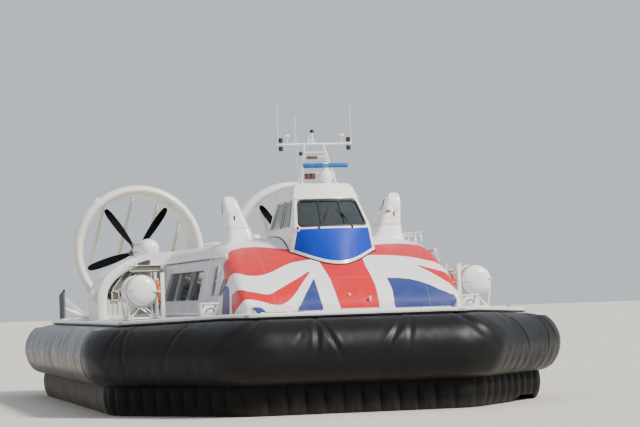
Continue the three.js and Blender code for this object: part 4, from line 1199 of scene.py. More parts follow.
class Livery:
    """Signed distances to the painted fields of one colour."""

    reach = 0.25

    def __init__(self, *fields_: Field) -> None:
        """Keeps the borders of the fields with their boxes."""
        self.across = fields_[0].across
        self.borders = [f.border() for f in fields_]
        self.boxes = []
        for border in self.borders:
            across, along = [p.x for p in border], [p.y for p in border]
            self.boxes.append((min(across), max(across), min(along), max(along)))

    def distance(self, share: float, y: float) -> float:
        """Returns how far inside the nearest field a place is, negative outside."""
        here = Vector((share * self.across, y))
        best = -self.reach
        for border, (x0, x1, y0, y1) in zip(self.borders, self.boxes):
            if not (x0 - self.reach <= here.x <= x1 + self.reach and y0 - self.reach <= y <= y1 + self.reach):
                continue
            nearest, inside = 1e9, False
            for a, b in zip(border, border[1:] + border[:1]):
                way = b - a
                share_along = min(1.0, max(0.0, (here - a).dot(way) / max(1e-9, way.length_squared)))
                nearest = min(nearest, (here - a - way * share_along).length)
                if (a.y > y) != (b.y > y) and here.x < a.x + (y - a.y) * way.x / way.y:
                    inside = not inside
            best = max(best, nearest if inside else -nearest)
        return min(self.reach, best)


REDS = Livery(
    Field(
        (
            (-0.15, -8.30), (-0.320, -8.08), (-0.465, -7.68), (-0.581, -7.51), (-0.661, -7.62),
            (-0.727, -7.84), (-0.80, -8.15), (-0.862, -8.55), (-0.82, -8.84), (-0.738, -9.03), (-0.65, -9.29),
            (-0.557, -9.47), (-0.461, -9.40), (-0.327, -9.02), (-0.245, -8.91), (-0.10, -8.75),
        ),
        True,
    ),
    Field(
        (
            (-0.865, -9.45), (-0.839, -9.62), (-0.729, -9.92), (-0.582, -10.16), (-0.491, -10.27),
            (-0.418, -10.10), (-0.279, -9.67), (-0.205, -9.43), (-0.275, -9.93), (-0.331, -10.28),
            (-0.395, -10.46), (-0.477, -10.50), (-0.536, -10.45), (-0.611, -10.38), (-0.72, -10.36),
            (-0.843, -10.27), (-0.957, -10.03), (-0.985, -9.80),
        ),
        True,
    ),
    Field(
        (
            (-0.128, -8.90), (0.166, -8.90), (0.156, -9.23), (0.160, -10.07), (0.155, -10.35),
            (0.157, -10.47), (0.166, -10.51), (0.173, -10.545), (-0.087, -10.545), (-0.091, -10.50),
            (-0.093, -10.42), (-0.098, -10.17), (-0.098, -9.86), (-0.117, -9.27),
        )
    ),
    Field(
        (
            (0.15, -8.25), (0.345, -7.90), (0.50, -7.66), (0.62, -7.60), (0.71, -7.72), (0.80, -8.02),
            (0.87, -8.45), (0.88, -8.85), (0.80, -9.08), (0.71, -9.08), (0.60, -8.90), (0.497, -8.74),
            (0.38, -8.69), (0.294, -8.68), (0.12, -8.66),
        ),
        True,
    ),
    Field(
        (
            (0.49, -9.20), (0.564, -9.34), (0.623, -9.46), (0.714, -9.57), (0.80, -9.72), (0.87, -9.94),
            (0.89, -10.14), (0.83, -10.25), (0.74, -10.27), (0.66, -10.20), (0.618, -10.02), (0.586, -9.80),
            (0.542, -9.51),
        ),
        True,
    ),
)
BLUES = Livery(
    Field(((-0.843, -10.50), (-0.70, -10.505), (-0.601, -10.51), (-0.556, -10.56), (-0.80, -10.57))),
    Field(
        ((-0.874, -8.45), (-0.849, -9.02), (-0.90, -9.30), (-0.99, -9.52), (-1.02, -9.40), (-1.02, -8.90),
         (-0.93, -8.62)),
        True,
    ),
    Field(
        (
            (-0.196, -9.74), (-0.196, -10.22), (-0.194, -10.47), (-0.199, -10.52), (-0.197, -10.55),
            (-0.366, -10.55), (-0.353, -10.52), (-0.339, -10.51), (-0.312, -10.48), (-0.287, -10.39),
            (-0.254, -10.20), (-0.202, -9.79),
        )
    ),
    Field(
        (
            (0.25, -9.82), (0.32, -9.83), (0.385, -9.87), (0.44, -9.97), (0.49, -10.11), (0.54, -10.28),
            (0.60, -10.40), (0.70, -10.45), (0.84, -10.48), (0.93, -10.50), (0.97, -10.525), (0.92, -10.545),
            (0.60, -10.55), (0.272, -10.55), (0.269, -10.53),
            (0.262, -10.51), (0.252, -10.48), (0.249, -10.41), (0.251, -10.26),
        )
    ),
)


@dataclass
class CabinShape:
    """The outside of the passenger cabin, as a function of a share across it and Y."""

    stations: tuple[Row, ...] = (
        (-10.56, 2.42, 2.478, 0.004), (-10.52, 2.50, 2.64, 0.06), (-10.48, 2.69, 2.74, 0.09),
        (-10.30, 2.83, 2.96, 0.15), (-9.90, 2.91, 3.24, 0.22), (-9.30, 2.97, 3.59, 0.30),
        (-8.60, 3.02, 3.93, 0.38), (-7.90, 3.06, 4.20, 0.43), (-7.20, 3.09, 4.38, 0.45),
        (-6.50, 3.10, 4.47, 0.45), (-5.60, 3.10, 4.50, 0.45), (1.30, 3.10, 4.50, 0.45),
    )
    floor: float = 2.4705
    roof: float = 4.50
    crown: float = 0.17
    crown_power: float = 2.32
    lean: float = 0.21
    crown_end: float = 0.62
    wall_start: float = 0.82

    def __post_init__(self) -> None:
        """Prepares the table of the stations."""
        self.table = SmoothTable(self.stations)

    def section(self, y: float) -> tuple[float, float, float, float, float]:
        """Returns the half width at the floor, top, crown's edge height, shoulder radius and shoulder's X."""
        half, top, shoulder = self.table.at(y)
        edge = top - self.crown * (top - self.floor) / (self.roof - self.floor)
        radius = min(shoulder, 0.9 * (edge - self.floor))
        return half, top, edge, radius, half - self.lean * (edge - radius - self.floor)

    def point(self, share: float, y: float) -> Vector:
        """Returns the place on the skin for a share across, from -1 at starboard to 1 at port, and Y."""
        half, top, edge, radius, shoulder_x = self.section(y)
        size, sign = abs(share), math.copysign(1.0, share)
        start = edge - radius
        if size <= self.crown_end:
            q = size / self.crown_end
            return Vector((sign * (shoulder_x - radius) * q, y, top - (top - edge) * q**self.crown_power))
        if size <= self.wall_start:
            angle = math.pi / 2 * (1 - (size - self.crown_end) / (self.wall_start - self.crown_end))
            x = shoulder_x - radius + radius * math.cos(angle)
            return Vector((sign * x, y, start + radius * math.sin(angle)))
        q = (size - self.wall_start) / (1 - self.wall_start)
        z = start + (self.floor - start) * q
        return Vector((sign * (half - self.lean * (z - self.floor)), y, z))

    def height(self, x: float, y: float) -> float:
        """Returns the skin's height over a place under its crown."""
        _, top, edge, radius, shoulder_x = self.section(y)
        q = min(1.0, abs(x) / max(0.01, shoulder_x - radius))
        return top - (top - edge) * q**self.crown_power

    def wall(self, side: Side, y: float, z: float, out: float = 0.0) -> Vector:
        """Returns a place on one side wall, moved out by a distance."""
        half = self.table.at(y)[0]
        return Vector((side.value * (half - self.lean * (z - self.floor) + out), y, z + out * self.lean))

    def share_at(self, y: float, height: float) -> float:
        """Returns the share across at which the skin comes down to a height."""
        low, high = 0.3, 1.0
        for _ in range(30):
            middle = (low + high) / 2
            if self.point(middle, y).z > height:
                low = middle
            else:
                high = middle
        return low


CABIN = CabinShape()


def ring_strip(
    bench: Bench, outer: Sequence[Flat], inner: Sequence[Flat],
    place: Callable[[float, float, float], Vector], lift: float, depth: float = 0.02,
) -> None:
    """Adds a flat frame between two outlines of as many points on a curved face.

    Args:
        bench: The mesh in the making.
        outer: The frame's outer outline.
        inner: Its inner outline.
        place: Returns the point for two face coordinates and a distance out.
        lift: How far the frame stands off the face.
        depth: How far it goes into the face.
    """
    count = len(outer)
    section = ((0.0, -depth), (0.0, 0.3 * lift), (0.2, lift), (0.8, lift), (1.0, 0.3 * lift), (1.0, -depth))

    def at(i: float, share: float, rise: float) -> Vector:
        """Places a point of the frame's section beside one point of the outlines."""
        a, b = outer[int(i) % count], inner[int(i) % count]
        return place(a[0] + (b[0] - a[0]) * share, a[1] + (b[1] - a[1]) * share, rise)

    bench.sweep(range(count + 1), section, at)


def frame_outlines(
    corners: Sequence[Flat], wide: float, tight: float, radius: float = 0.09
) -> tuple[list[Flat], list[Flat]]:
    """Returns two outlines round an opening, for the two edges of its rubber frame.

    Args:
        corners: The opening's corners.
        wide: How far outside the opening the outline with the wider corners lies.
        tight: How far outside it the outline with the tighter corners lies.
        radius: How far from a corner the rounding starts, plus or minus these.

    Returns:
        The outline with the wider corners and the one with the tighter corners.
    """
    middle = [sum(values) / len(corners) for values in zip(*corners)]

    def grown(distance: float, reach: float) -> list[Flat]:
        """Moves each corner away from the middle along both axes, and rounds the outline."""
        places = []
        for corner in corners:
            places.append(tuple(c + math.copysign(distance, c - m) for c, m in zip(corner, middle)))
        return rounded_outline(places, reach, 6)

    return grown(wide, radius + wide), grown(tight, radius - tight)


@dataclass
class Cabin:
    """The passenger cabin: painted front, roof, sides with windows, forward side doors."""

    shape: CabinShape = field(default_factory=lambda: CABIN)
    front_end: float = -8.05
    back: float = 1.30
    cornice: float = 3.9605
    sill: float = 2.87
    head: float = 3.65
    windows: tuple[Row, ...] = (
        (-5.26, -3.28, -5.41, -3.76), (-3.20, -1.06, -3.68, -1.41), (-0.98, 0.73, -1.33, 0.19),
    )
    forward_pane: Outline = ((-8.36, 2.98), (-8.05, 2.98), (-8.32, 3.36), (-8.66, 3.36))
    cornice_line: Outline = (
        (3.932, -0.01), (3.938, 0.045), (3.96, 0.058), (4.0, 0.052), (4.02, -0.02),
    )
    foot_line: Outline = ((2.475, -0.01), (2.475, 0.02), (2.53, 0.02), (2.55, -0.01))
    dome: Outline = (
        (0.0, 0.16), (0.10, 0.155), (0.16, 0.12), (0.175, 0.06), (0.17, -0.03), (0.0, -0.03),
    )
    hatch: Outline = ((0.0, 0.05), (0.26, 0.05), (0.29, 0.02), (0.29, -0.03), (0.0, -0.03))
    door_pane: Outline = ((-7.56, 0.53), (-7.14, 0.53), (-7.14, 1.255), (-7.56, 1.255))
    door_face: float = 3.088
    door_handle: Outline = ((0.0, 0.0), (0.01, 0.045), (0.14, 0.045), (0.15, 0.0))
    grab_pipe: Outline = ((2.80, 0.0), (2.83, 0.07), (3.3, 0.08), (3.86, 0.08), (3.90, 0.0))
    skin: float = 0.03
    well_half: float = 0.72
    well_front: float = -8.55
    well_back: float = -5.6
    roof_straps: Row = (-4.35, -2.7, -1.05, 0.6)
    dome_places: Outline = ((-1.1, -3.5), (1.1, -3.5), (-1.1, -0.4), (1.1, -0.4))

    def in_well(self, point: Vector) -> bool:
        """Says whether a place lies under the cockpit."""
        return abs(point.x) < self.well_half and self.well_front < point.y < self.well_back

    def build_front(self) -> None:
        """Builds the painted front with its fields in red and blue."""
        along = [-10.56, -10.552, -10.544, -10.536, -10.528, -10.52, -10.51, -10.50, -10.49, -10.48]
        along += [-10.465, -10.445, -10.42, -10.39, -10.36] + span(-10.33, self.front_end, 84)
        across = both_ways(breaks([0.0, self.shape.crown_end, self.shape.wall_start, 1.0], 0.0075))
        bench = Bench()
        bench.sheet(
            across, along, self.shape.point, skip=lambda u, v: self.in_well(self.shape.point(u, v)),
            wall=self.skin, fields={"red_field": REDS.distance, "blue_field": BLUES.distance},
        )
        bench.finish("cabin_front_skin", FLAG, replaces=("cabin_front",), angle=50.0)
        fittings = Bench()
        upright = Vector((0.0, -0.35, 0.94))
        for share, y, reach in ((-0.016, -10.39, 0.03), (0.105, -10.49, 0.10)):
            place = self.shape.point(share, y)
            fittings.tube([place, place + upright * reach], 0.026, 14)
            fittings.ball(place + upright * reach, (0.034, 0.034, 0.026))
        fittings.finish("bow_fittings", WHITE)

    def build_roof(self) -> None:
        """Builds the roof's skin down to the cornice."""
        limits: dict[float, float] = {}

        def share(u: float, y: float) -> float:
            """Returns the share across the cabin for a share across the roof."""
            if y not in limits:
                limits[y] = self.shape.share_at(y, self.cornice)
            return u * limits[y]

        def place(u: float, y: float) -> Vector:
            """Places a point of the roof."""
            return self.shape.point(share(u, y), y)

        along = span(self.front_end + 0.001, -5.0, 100) + span(-5.0, self.back, 60)[1:]
        across = both_ways(breaks([0.0, 0.84, 1.0], 0.011))
        fields = {
            "red_field": lambda u, y: REDS.distance(share(u, y), y), "blue_field": lambda u, y: -REDS.reach
        }
        bench = Bench()
        bench.sheet(
            across, along, place, skip=lambda u, v: self.in_well(place(u, v)), wall=self.skin, fields=fields
        )
        bench.finish("cabin_roof_skin", ROOF_FLAG, replaces=("cabin_roof",), angle=50.0)
        fittings = Bench()
        for y in self.roof_straps:
            z = self.shape.height(0.0, y)
            fittings.block((-1.9, y - 0.02, z - 0.03), (1.9, y + 0.02, z + 0.006), 0.004, paint=1)
        for x, y in self.dome_places:
            fittings.spin(self.dome, (x, y, self.shape.height(x, y)), "Z", 28)
        fittings.spin(self.hatch, (0.0, -1.9, self.shape.height(0.0, -1.9)), "Z", 36)
        fittings.finish("roof_fittings", WHITE, ROOF_WHITE)

    def build_sides(self, side: Side) -> None:
        """Builds one side wall with its cornice and the rubber frames of its windows."""
        node = "cabin_side_" + side.word
        refined_copy(node, "cabin_wall_" + side.word, SIDE_GREY_AND_SHADE, 0.006)
        on_wall = partial(self.shape.wall, side)
        trim = Bench()
        trim.sweep(span(self.front_end - 0.25, self.back, 90), self.cornice_line, on_wall, cap=True)
        trim.sweep(span(-6.80, self.back, 60), self.foot_line, on_wall, cap=True)
        line = [on_wall(y, 3.926, 0.02) for y in span(-6.75, self.back - 0.05, 40)]
        trim.tube(line, 0.016, 8, paint=1)
        trim.finish("cabin_trim_" + side.word, WHITE, GREY)

        frames = Bench()
        for sill0, sill1, head0, head1 in self.windows:
            corners = [(sill0, self.sill), (sill1, self.sill), (head1, self.head), (head0, self.head)]
            ring_strip(frames, *frame_outlines(corners, 0.014, 0.014), on_wall, 0.006)
        ring_strip(frames, *frame_outlines(self.forward_pane, 0.02, 0.02), on_wall, 0.008)
        frames.finish("window_frames_" + side.word, GASKET, angle=60.0)

        (y0, z0), (y1, _), (y2, z2), (y3, _) = self.forward_pane

        def pane(u: float, v: float) -> Vector:
            """Places a point of the flush pane in the front's flank."""
            y = (y0 + (y1 - y0) * u) * (1 - v) + (y3 + (y2 - y3) * u) * v
            return on_wall(y, z0 + (z2 - z0) * v, 0.004)

        panes = Bench()
        panes.sheet(span(0, 1, 6), span(0, 1, 6), pane, wall=0.004)
        panes.finish("forward_pane_" + side.word, GLASS)

    def build_door(self, side: Side) -> None:
        """Builds one side door with its pane, frame and handle, which swing together."""
        body = "door_" + side.word
        refined_copy(body, "door_leaf_" + side.word, SIDE_GREY_AND_SHADE, 0.006, body=body)
        foot, lean = self.shape.floor, self.shape.lean
        cosine = math.cos(math.atan(lean))

        def on_door(y: float, up: float, out: float) -> Vector:
            """Returns a place on the leaf by its Y and its way up the slope, moved out by a distance."""
            z = foot + up * cosine
            return Vector((side.value * (self.door_face - lean * (z - foot) + out), y, z + out * lean))

        fittings = Bench()
        ring_strip(fittings, *frame_outlines(self.door_pane, 0.022, 0.012), on_door, 0.008)
        across, along = span(-7.565, -7.135, 4), span(0.525, 1.26, 4)
        fittings.sheet(across, along, lambda y, up: on_door(y, up, -0.018), wall=0.008, paint=1)
        for y, up in ((-7.77, 0.42), (-7.77, 1.05)):
            path = [on_door(y, up + rise, out) for rise, out in self.door_handle]
            fittings.tube(round_path(path, 4), 0.011, 8, paint=2)
        fittings.block(on_door(-7.70, 0.86, 0.0), on_door(-7.60, 0.92, 0.02), 0.004, paint=2)
        fittings.finish("door_fittings_" + side.word, GASKET, GLASS, STEEL, body=body, angle=60.0)

    def build_rails(self, side: Side) -> None:
        """Builds the white grab pipes beside one side door."""
        pipes = Bench()
        for y in (-8.02, -6.66):
            path = [self.shape.wall(side, y, z, out) for z, out in self.grab_pipe]
            pipes.tube(round_path(path, 6), 0.018, 10)
        pipes.finish("grab_pipes_" + side.word, WHITE)

    def build(self) -> None:
        """Builds the whole cabin."""
        self.build_front()
        self.build_roof()
        for side in Side:
            self.build_sides(side)
            self.build_door(side)
            self.build_rails(side)


@dataclass
class Cockpit:
    """The raised cockpit: walls with a blue nose panel, framed windscreen, side windows and roof."""

    levels: tuple[Row, ...] = (
        (3.35, 1.25, -8.36, -4.80, 0.95), (4.03, 1.12, -8.39, -4.85, 0.62), (4.64, 1.00, -8.45, -5.04, 0.23),
        (5.38, 0.85, -7.74, -5.40, 0.23), (5.66, 0.80, -7.53, -5.38, 0.23), (5.80, 0.70, -7.38, -5.29, 0.23),
    )
    split: float = 5.385
    screen: tuple[float, float, float] = (0.955, 4.67, 5.35)
    side_sill: float = 4.69
    side_head: float = 5.33
    corner: float = 0.06
    brow: Outline = (
        (5.3855, 0.002), (5.386, 0.028), (5.41, 0.036), (5.45, 0.030), (5.52, 0.010), (5.60, 0.0),
        (5.66, 0.0), (5.74, 0.0), (5.775, 0.0), (5.792, -0.012), (5.80, -0.04),
    )
    wiper_strokes: tuple[Outline, ...] = (
        ((-0.42, 4.615), (-0.12, 5.02), (-0.22, 4.83), (-0.03, 5.19)),
        ((0.50, 4.615), (0.30, 4.98), (0.42, 4.80), (0.20, 5.14)),
    )
    shape: CabinShape = field(default_factory=lambda: CABIN)

    def level(self, z: float) -> tuple[float, float, float, float]:
        """Returns the half width, the front at the corners, the back and the front's sweep at a height."""
        rows = self.levels
        i = next((k for k in range(1, len(rows)) if rows[k][0] >= z), len(rows) - 1)
        low, high = rows[i - 1], rows[i]
        share = (z - low[0]) / (high[0] - low[0])
        return tuple(a + (b - a) * share for a, b in zip(low[1:], high[1:]))

    def on_front(self, share: float, z: float, out: float = 0.0) -> Vector:
        """Returns a place on the front for a share of its half width and a height."""
        half, front, _, sweep = self.level(z)
        bow = front - 0.025 - (sweep - 0.025) * (1.0 - share * share)
        slope = Vector((share * 0.42, -0.80, 0.45)).normalized()
        return Vector((share * (half - self.corner), bow, z)) + slope * out

    def on_side(self, side: Side, y: float, z: float, out: float = 0.0) -> Vector:
        """Returns a place on a side wall for Y and a height."""
        return Vector((side.value * (self.level(z)[0] + out), y, z + out * 0.2))

    def side_knots(self, z: float) -> list[float]:
        """Returns the Y of the front corner, window ends, bar and rear corner of a side wall at a height."""
        _, front, back, _ = self.level(z)
        share = (z - self.side_sill) / (self.side_head - self.side_sill)
        share = min(1.6, max(-1.2, share))
        window_front = max(front + 0.16, -7.80 + 0.24 * share)
        window_back = min(back - 0.12, -5.30 - 0.50 * share)
        bar = -6.65 - 0.10 * share
        return [front + 0.04, window_front, bar - 0.035, bar + 0.035, window_back, back - self.corner]

    def around(self, key: float, z: float) -> Vector:
        """Returns the place on the walls for a key that runs once round them.

        Args:
            key: -1 to 1 over the front from starboard to port, then 1 to 2 round the corner, 2 to 7 along
                the port side, 7 to 8 round the corner, 8 to 9 over the back, and the same along starboard
                to 16.
            z: The height.

        Returns:
            The place.
        """
        half, front, back, _ = self.level(z)
        if -1.0 <= key <= 1.0:
            return self.on_front(key, z)
        sign = 1.0
        if key > 8.5:
            sign, key = -1.0, 17.0 - key
        if key <= 2.0:
            angle = math.pi / 2 * (key - 1.0)
            x = half - self.corner + self.corner * math.sin(angle)
            return Vector((sign * x, front + 0.04 - 0.065 * math.cos(angle), z))
        if key <= 7.0:
            knots = self.side_knots(z)
            i = min(4, int(key - 2.0))
            share = key - 2.0 - i
            return Vector((sign * half, knots[i] + (knots[i + 1] - knots[i]) * share, z))
        if key <= 8.0:
            angle = math.pi / 2 * (key - 7.0)
            x = half - self.corner + self.corner * math.cos(angle)
            return Vector((sign * x, back - self.corner + self.corner * math.sin(angle), z))
        return Vector((sign * (half - self.corner) * (1.0 - (key - 8.0) * 2), back, z))

    def foot(self, key: float) -> float:
        """Returns the height at which the wall meets the cabin's skin."""
        z = 4.4
        for _ in range(12):
            place = self.around(key, z)
            z = self.shape.height(place.x, place.y)
        return z

    def keys(self) -> list[float]:
        """Returns the keys of the grid's lines round the walls."""
        hole = self.screen[0]
        front = breaks([-1.0, -0.975, -hole, hole, 0.975, 1.0], 0.055)
        half_way = breaks([1.0, 2.0], 0.25)[1:] + breaks([2.0, 3.0, 4.0, 5.0, 6.0, 7.0], 0.12)[1:]
        half_way += breaks([7.0, 8.0], 0.25)[1:] + [8.25, 8.5]
        other = [17.0 - k for k in reversed(half_way[:-1])]
        return front + half_way + other + [16.0]

    def build_walls(self) -> None:
        """Builds the walls up to the brow, with the blue panel between white borders, and a black tube at
        their foot that paints the shadow line there.
        """
        feet = {}
        hole, low, high = self.screen

        def height(key: float, v: float) -> float:
            """Returns the height of a row, between the cabin's skin and the brow."""
            if key not in feet:
                feet[key] = self.foot(key)
            foot = feet[key]
            marks = (
                foot - 0.05, foot + 0.01, min(foot + 0.10, 4.55), 4.595, low, self.side_sill, self.side_head,
                high, self.split,
            )
            i = min(7, int(v))
            return marks[i] + (marks[i + 1] - marks[i]) * (v - i)

        def place(key: float, v: float) -> Vector:
            """Places a point of the walls."""
            return self.around(key, height(key, v))

        def skip(key: float, v: float) -> bool:
            """Says whether a face lies in the windscreen's or a side window's opening."""
            in_screen = abs(key) < hole and 4.0 < v < 7.0
            along = key if key < 8.5 else 17.0 - key
            in_side = (3.0 < along < 4.0 or 5.0 < along < 6.0) and 5.0 < v < 6.0
            return in_screen or in_side

        def paint(key: float, v: float) -> int:
            """Returns 1 on the nose panel and 0 elsewhere."""
            return 1 if abs(key) < 0.975 and 2.0 < v < 3.0 else 0

        rows = [0.0, 1.0] + breaks([1.0, 2.0], 0.5)[1:] + breaks([2.0, 3.0], 0.1)[1:] + [4.0, 5.0]
        rows += breaks([5.0, 6.0], 0.1)[1:] + [7.0, 8.0]
        keys = self.keys()
        bench = Bench()
        bench.sheet(keys, rows, place, skip=skip, wrap=True, wall=0.05, paint=paint)
        bench.finish("cockpit_walls", WHITE, NOSE_BLUE, replaces=("cockpit_body",), angle=40.0)

        # Painted shadow: a black tube round the walls' foot stands for the shadow line where the cockpit
        # meets the cabin's skin.
        dark_line = Bench()
        path = [self.around(k, self.foot(k)) + Vector((0.0, 0.0, 0.004)) for k in keys[:-1]]
        dark_line.tube(path, 0.022, 8, closed=True)
        dark_line.finish("cockpit_seal", GASKET)

    def build_roof(self) -> None:
        """Builds the brow and the roof over the walls."""

        def place(key: float, i: float) -> Vector:
            """Places a point of the brow or the roof, moved out most over the windscreen."""
            z, out = self.brow[int(i)]
            point = self.around(key, z)
            _, front, back, _ = self.level(z)
            middle = Vector((0.0, (front + back) / 2, z))
            away = (point - middle).normalized()
            return point + away * out * (1.0 if point.y < -7.0 else 0.35)

        bench = Bench()
        bench.sheet(self.keys(), range(len(self.brow)), place, wrap=True, cap=True)
        bench.block((-0.36, -6.98, 5.798), (-0.10, -6.82, 5.83), 0.008)
        bench.finish("cockpit_roof_shell", WHITE, replaces=("cockpit_roof",), angle=40.0)

    def build_windscreen(self) -> None:
        """Builds the three panes, their slim bars, the black frame and the wipers."""
        hole, low, high = self.screen
        glass = Bench()
        across, along = span(-hole - 0.02, hole + 0.02, 48), span(low - 0.02, high + 0.02, 12)
        glass.sheet(across, along, lambda s, z: self.on_front(s, z, -0.022), wall=0.01)
        glass.finish("windscreen_glass", GLASS, replaces=("windscreen",))

        frame = Bench()
        edge, half_width = 0.95, 0.9

        def outline(grow_share: float, grow: float, radius: float) -> list[Flat]:
            """Returns a dense rounded outline round the windscreen, in share across and height."""
            share, sill, head = edge + grow_share, low - grow, high + grow
            corners = [(-share, sill), (share, sill), (share, head), (-share, head)]
            scaled = rounded_outline([(a * half_width, b) for a, b in corners], radius, 8)
            dense = []
            for (a, b), (c, d) in zip(scaled, scaled[1:] + scaled[:1]):
                steps = max(1, round(math.hypot(c - a, d - b) / 0.06))
                dense += [((a + (c - a) * t) / half_width, b + (d - b) * t) for t in span(0, 1, steps)[:-1]]
            return dense

        outer, near = outline(0.025, 0.022, 0.13), outline(-0.03, -0.03, 0.11)
        inner = [min(near, key=lambda p: (p[0] - a) ** 2 + (p[1] - b) ** 2) for a, b in outer]
        ring_strip(frame, outer, inner, self.on_front, 0.014, 0.03)
        for middle in (-0.335, 0.335):
            frame.sheet(
                span(middle - 0.024, middle + 0.024, 3), span(low + 0.02, high - 0.02, 8),
                lambda share, z: self.on_front(share, z, 0.006), wall=0.03,
            )
        frame.finish("windscreen_frame", GASKET, angle=60.0)

        wipers = Bench()
        for pivot, tip, blade_low, blade_high in self.wiper_strokes:
            bend = ((pivot[0] + tip[0]) / 2, (pivot[1] + tip[1]) / 2)
            arm = [self.on_front(*pivot, 0.02), self.on_front(*bend, 0.05), self.on_front(*tip, 0.035)]
            wipers.tube(round_path(arm, 4), 0.009, 8)
            wipers.tube([self.on_front(*blade_low, 0.022), self.on_front(*blade_high, 0.022)], 0.009, 8)
            wipers.ball(self.on_front(*pivot, 0.012), (0.03, 0.02, 0.03))
        wipers.finish("wipers", GASKET)

    def build_side_windows(self, side: Side) -> None:
        """Builds the two panes of one side with their rubber frames."""
        glass, frames = Bench(), Bench()
        low, high = self.side_sill, self.side_head
        for first in (1, 3):

            def pane(u: float, v: float) -> Vector:
                """Places a point of the pane behind the wall's face."""
                z = low - 0.01 + (high - low + 0.02) * v
                knots = self.side_knots(z)
                y = knots[first] + (knots[first + 1] - knots[first]) * u
                return self.on_side(side, y, z, -0.02)

            glass.sheet(span(-0.01, 1.01, 6), span(0, 1, 6), pane, wall=0.01)
            bottom, top = self.side_knots(low), self.side_knots(high)
            corners = [
                (bottom[first], low), (bottom[first + 1], low), (top[first + 1], high), (top[first], high)
            ]
            outlines = frame_outlines(corners, 0.022, 0.03, radius=0.07)
            ring_strip(frames, *outlines, partial(self.on_side, side), 0.012, 0.025)
        glass.finish("cockpit_side_glass_" + side.word, GLASS)
        frames.finish("cockpit_side_frames_" + side.word, GASKET, angle=60.0)

    def build_fittings(self) -> None:
        """Builds the lamps and pipes on the walls, a handle and the oval fitting beside the blue panel."""
        bench = Bench()
        for side in Side:
            place = self.on_side(side, -5.46, 5.50, 0.02)
            half = Vector((0.05, 0.07, 0.05))
            bench.block(place - half, place + half, 0.012)
            place = self.on_side(side, -7.0, 5.56, 0.02)
            bench.tube([place + Vector((0, -0.5, 0)), place + Vector((0, 0.9, 0))], 0.012, 8)
        bench.ball(self.on_front(-0.955, 4.60, 0.012), (0.05, 0.03, 0.075))
        bench.ball(self.on_front(-0.955, 4.60, 0.035), (0.028, 0.02, 0.05), paint=1)
        handle = ((-8.25, 4.33, 0.0), (-8.25, 4.35, 0.07), (-8.22, 4.58, 0.07), (-8.22, 4.60, 0.0))
        bench.tube(round_path([self.on_side(Side.STARBOARD, *place) for place in handle], 4), 0.014, 8)
        bench.finish("cockpit_fittings", WHITE, GASKET)

    def build(self) -> None:
        """Builds the whole cockpit."""
        self.build_walls()
        self.build_roof()
        self.build_windscreen()
        for side in Side:
            self.build_side_windows(side)
        self.build_fittings()


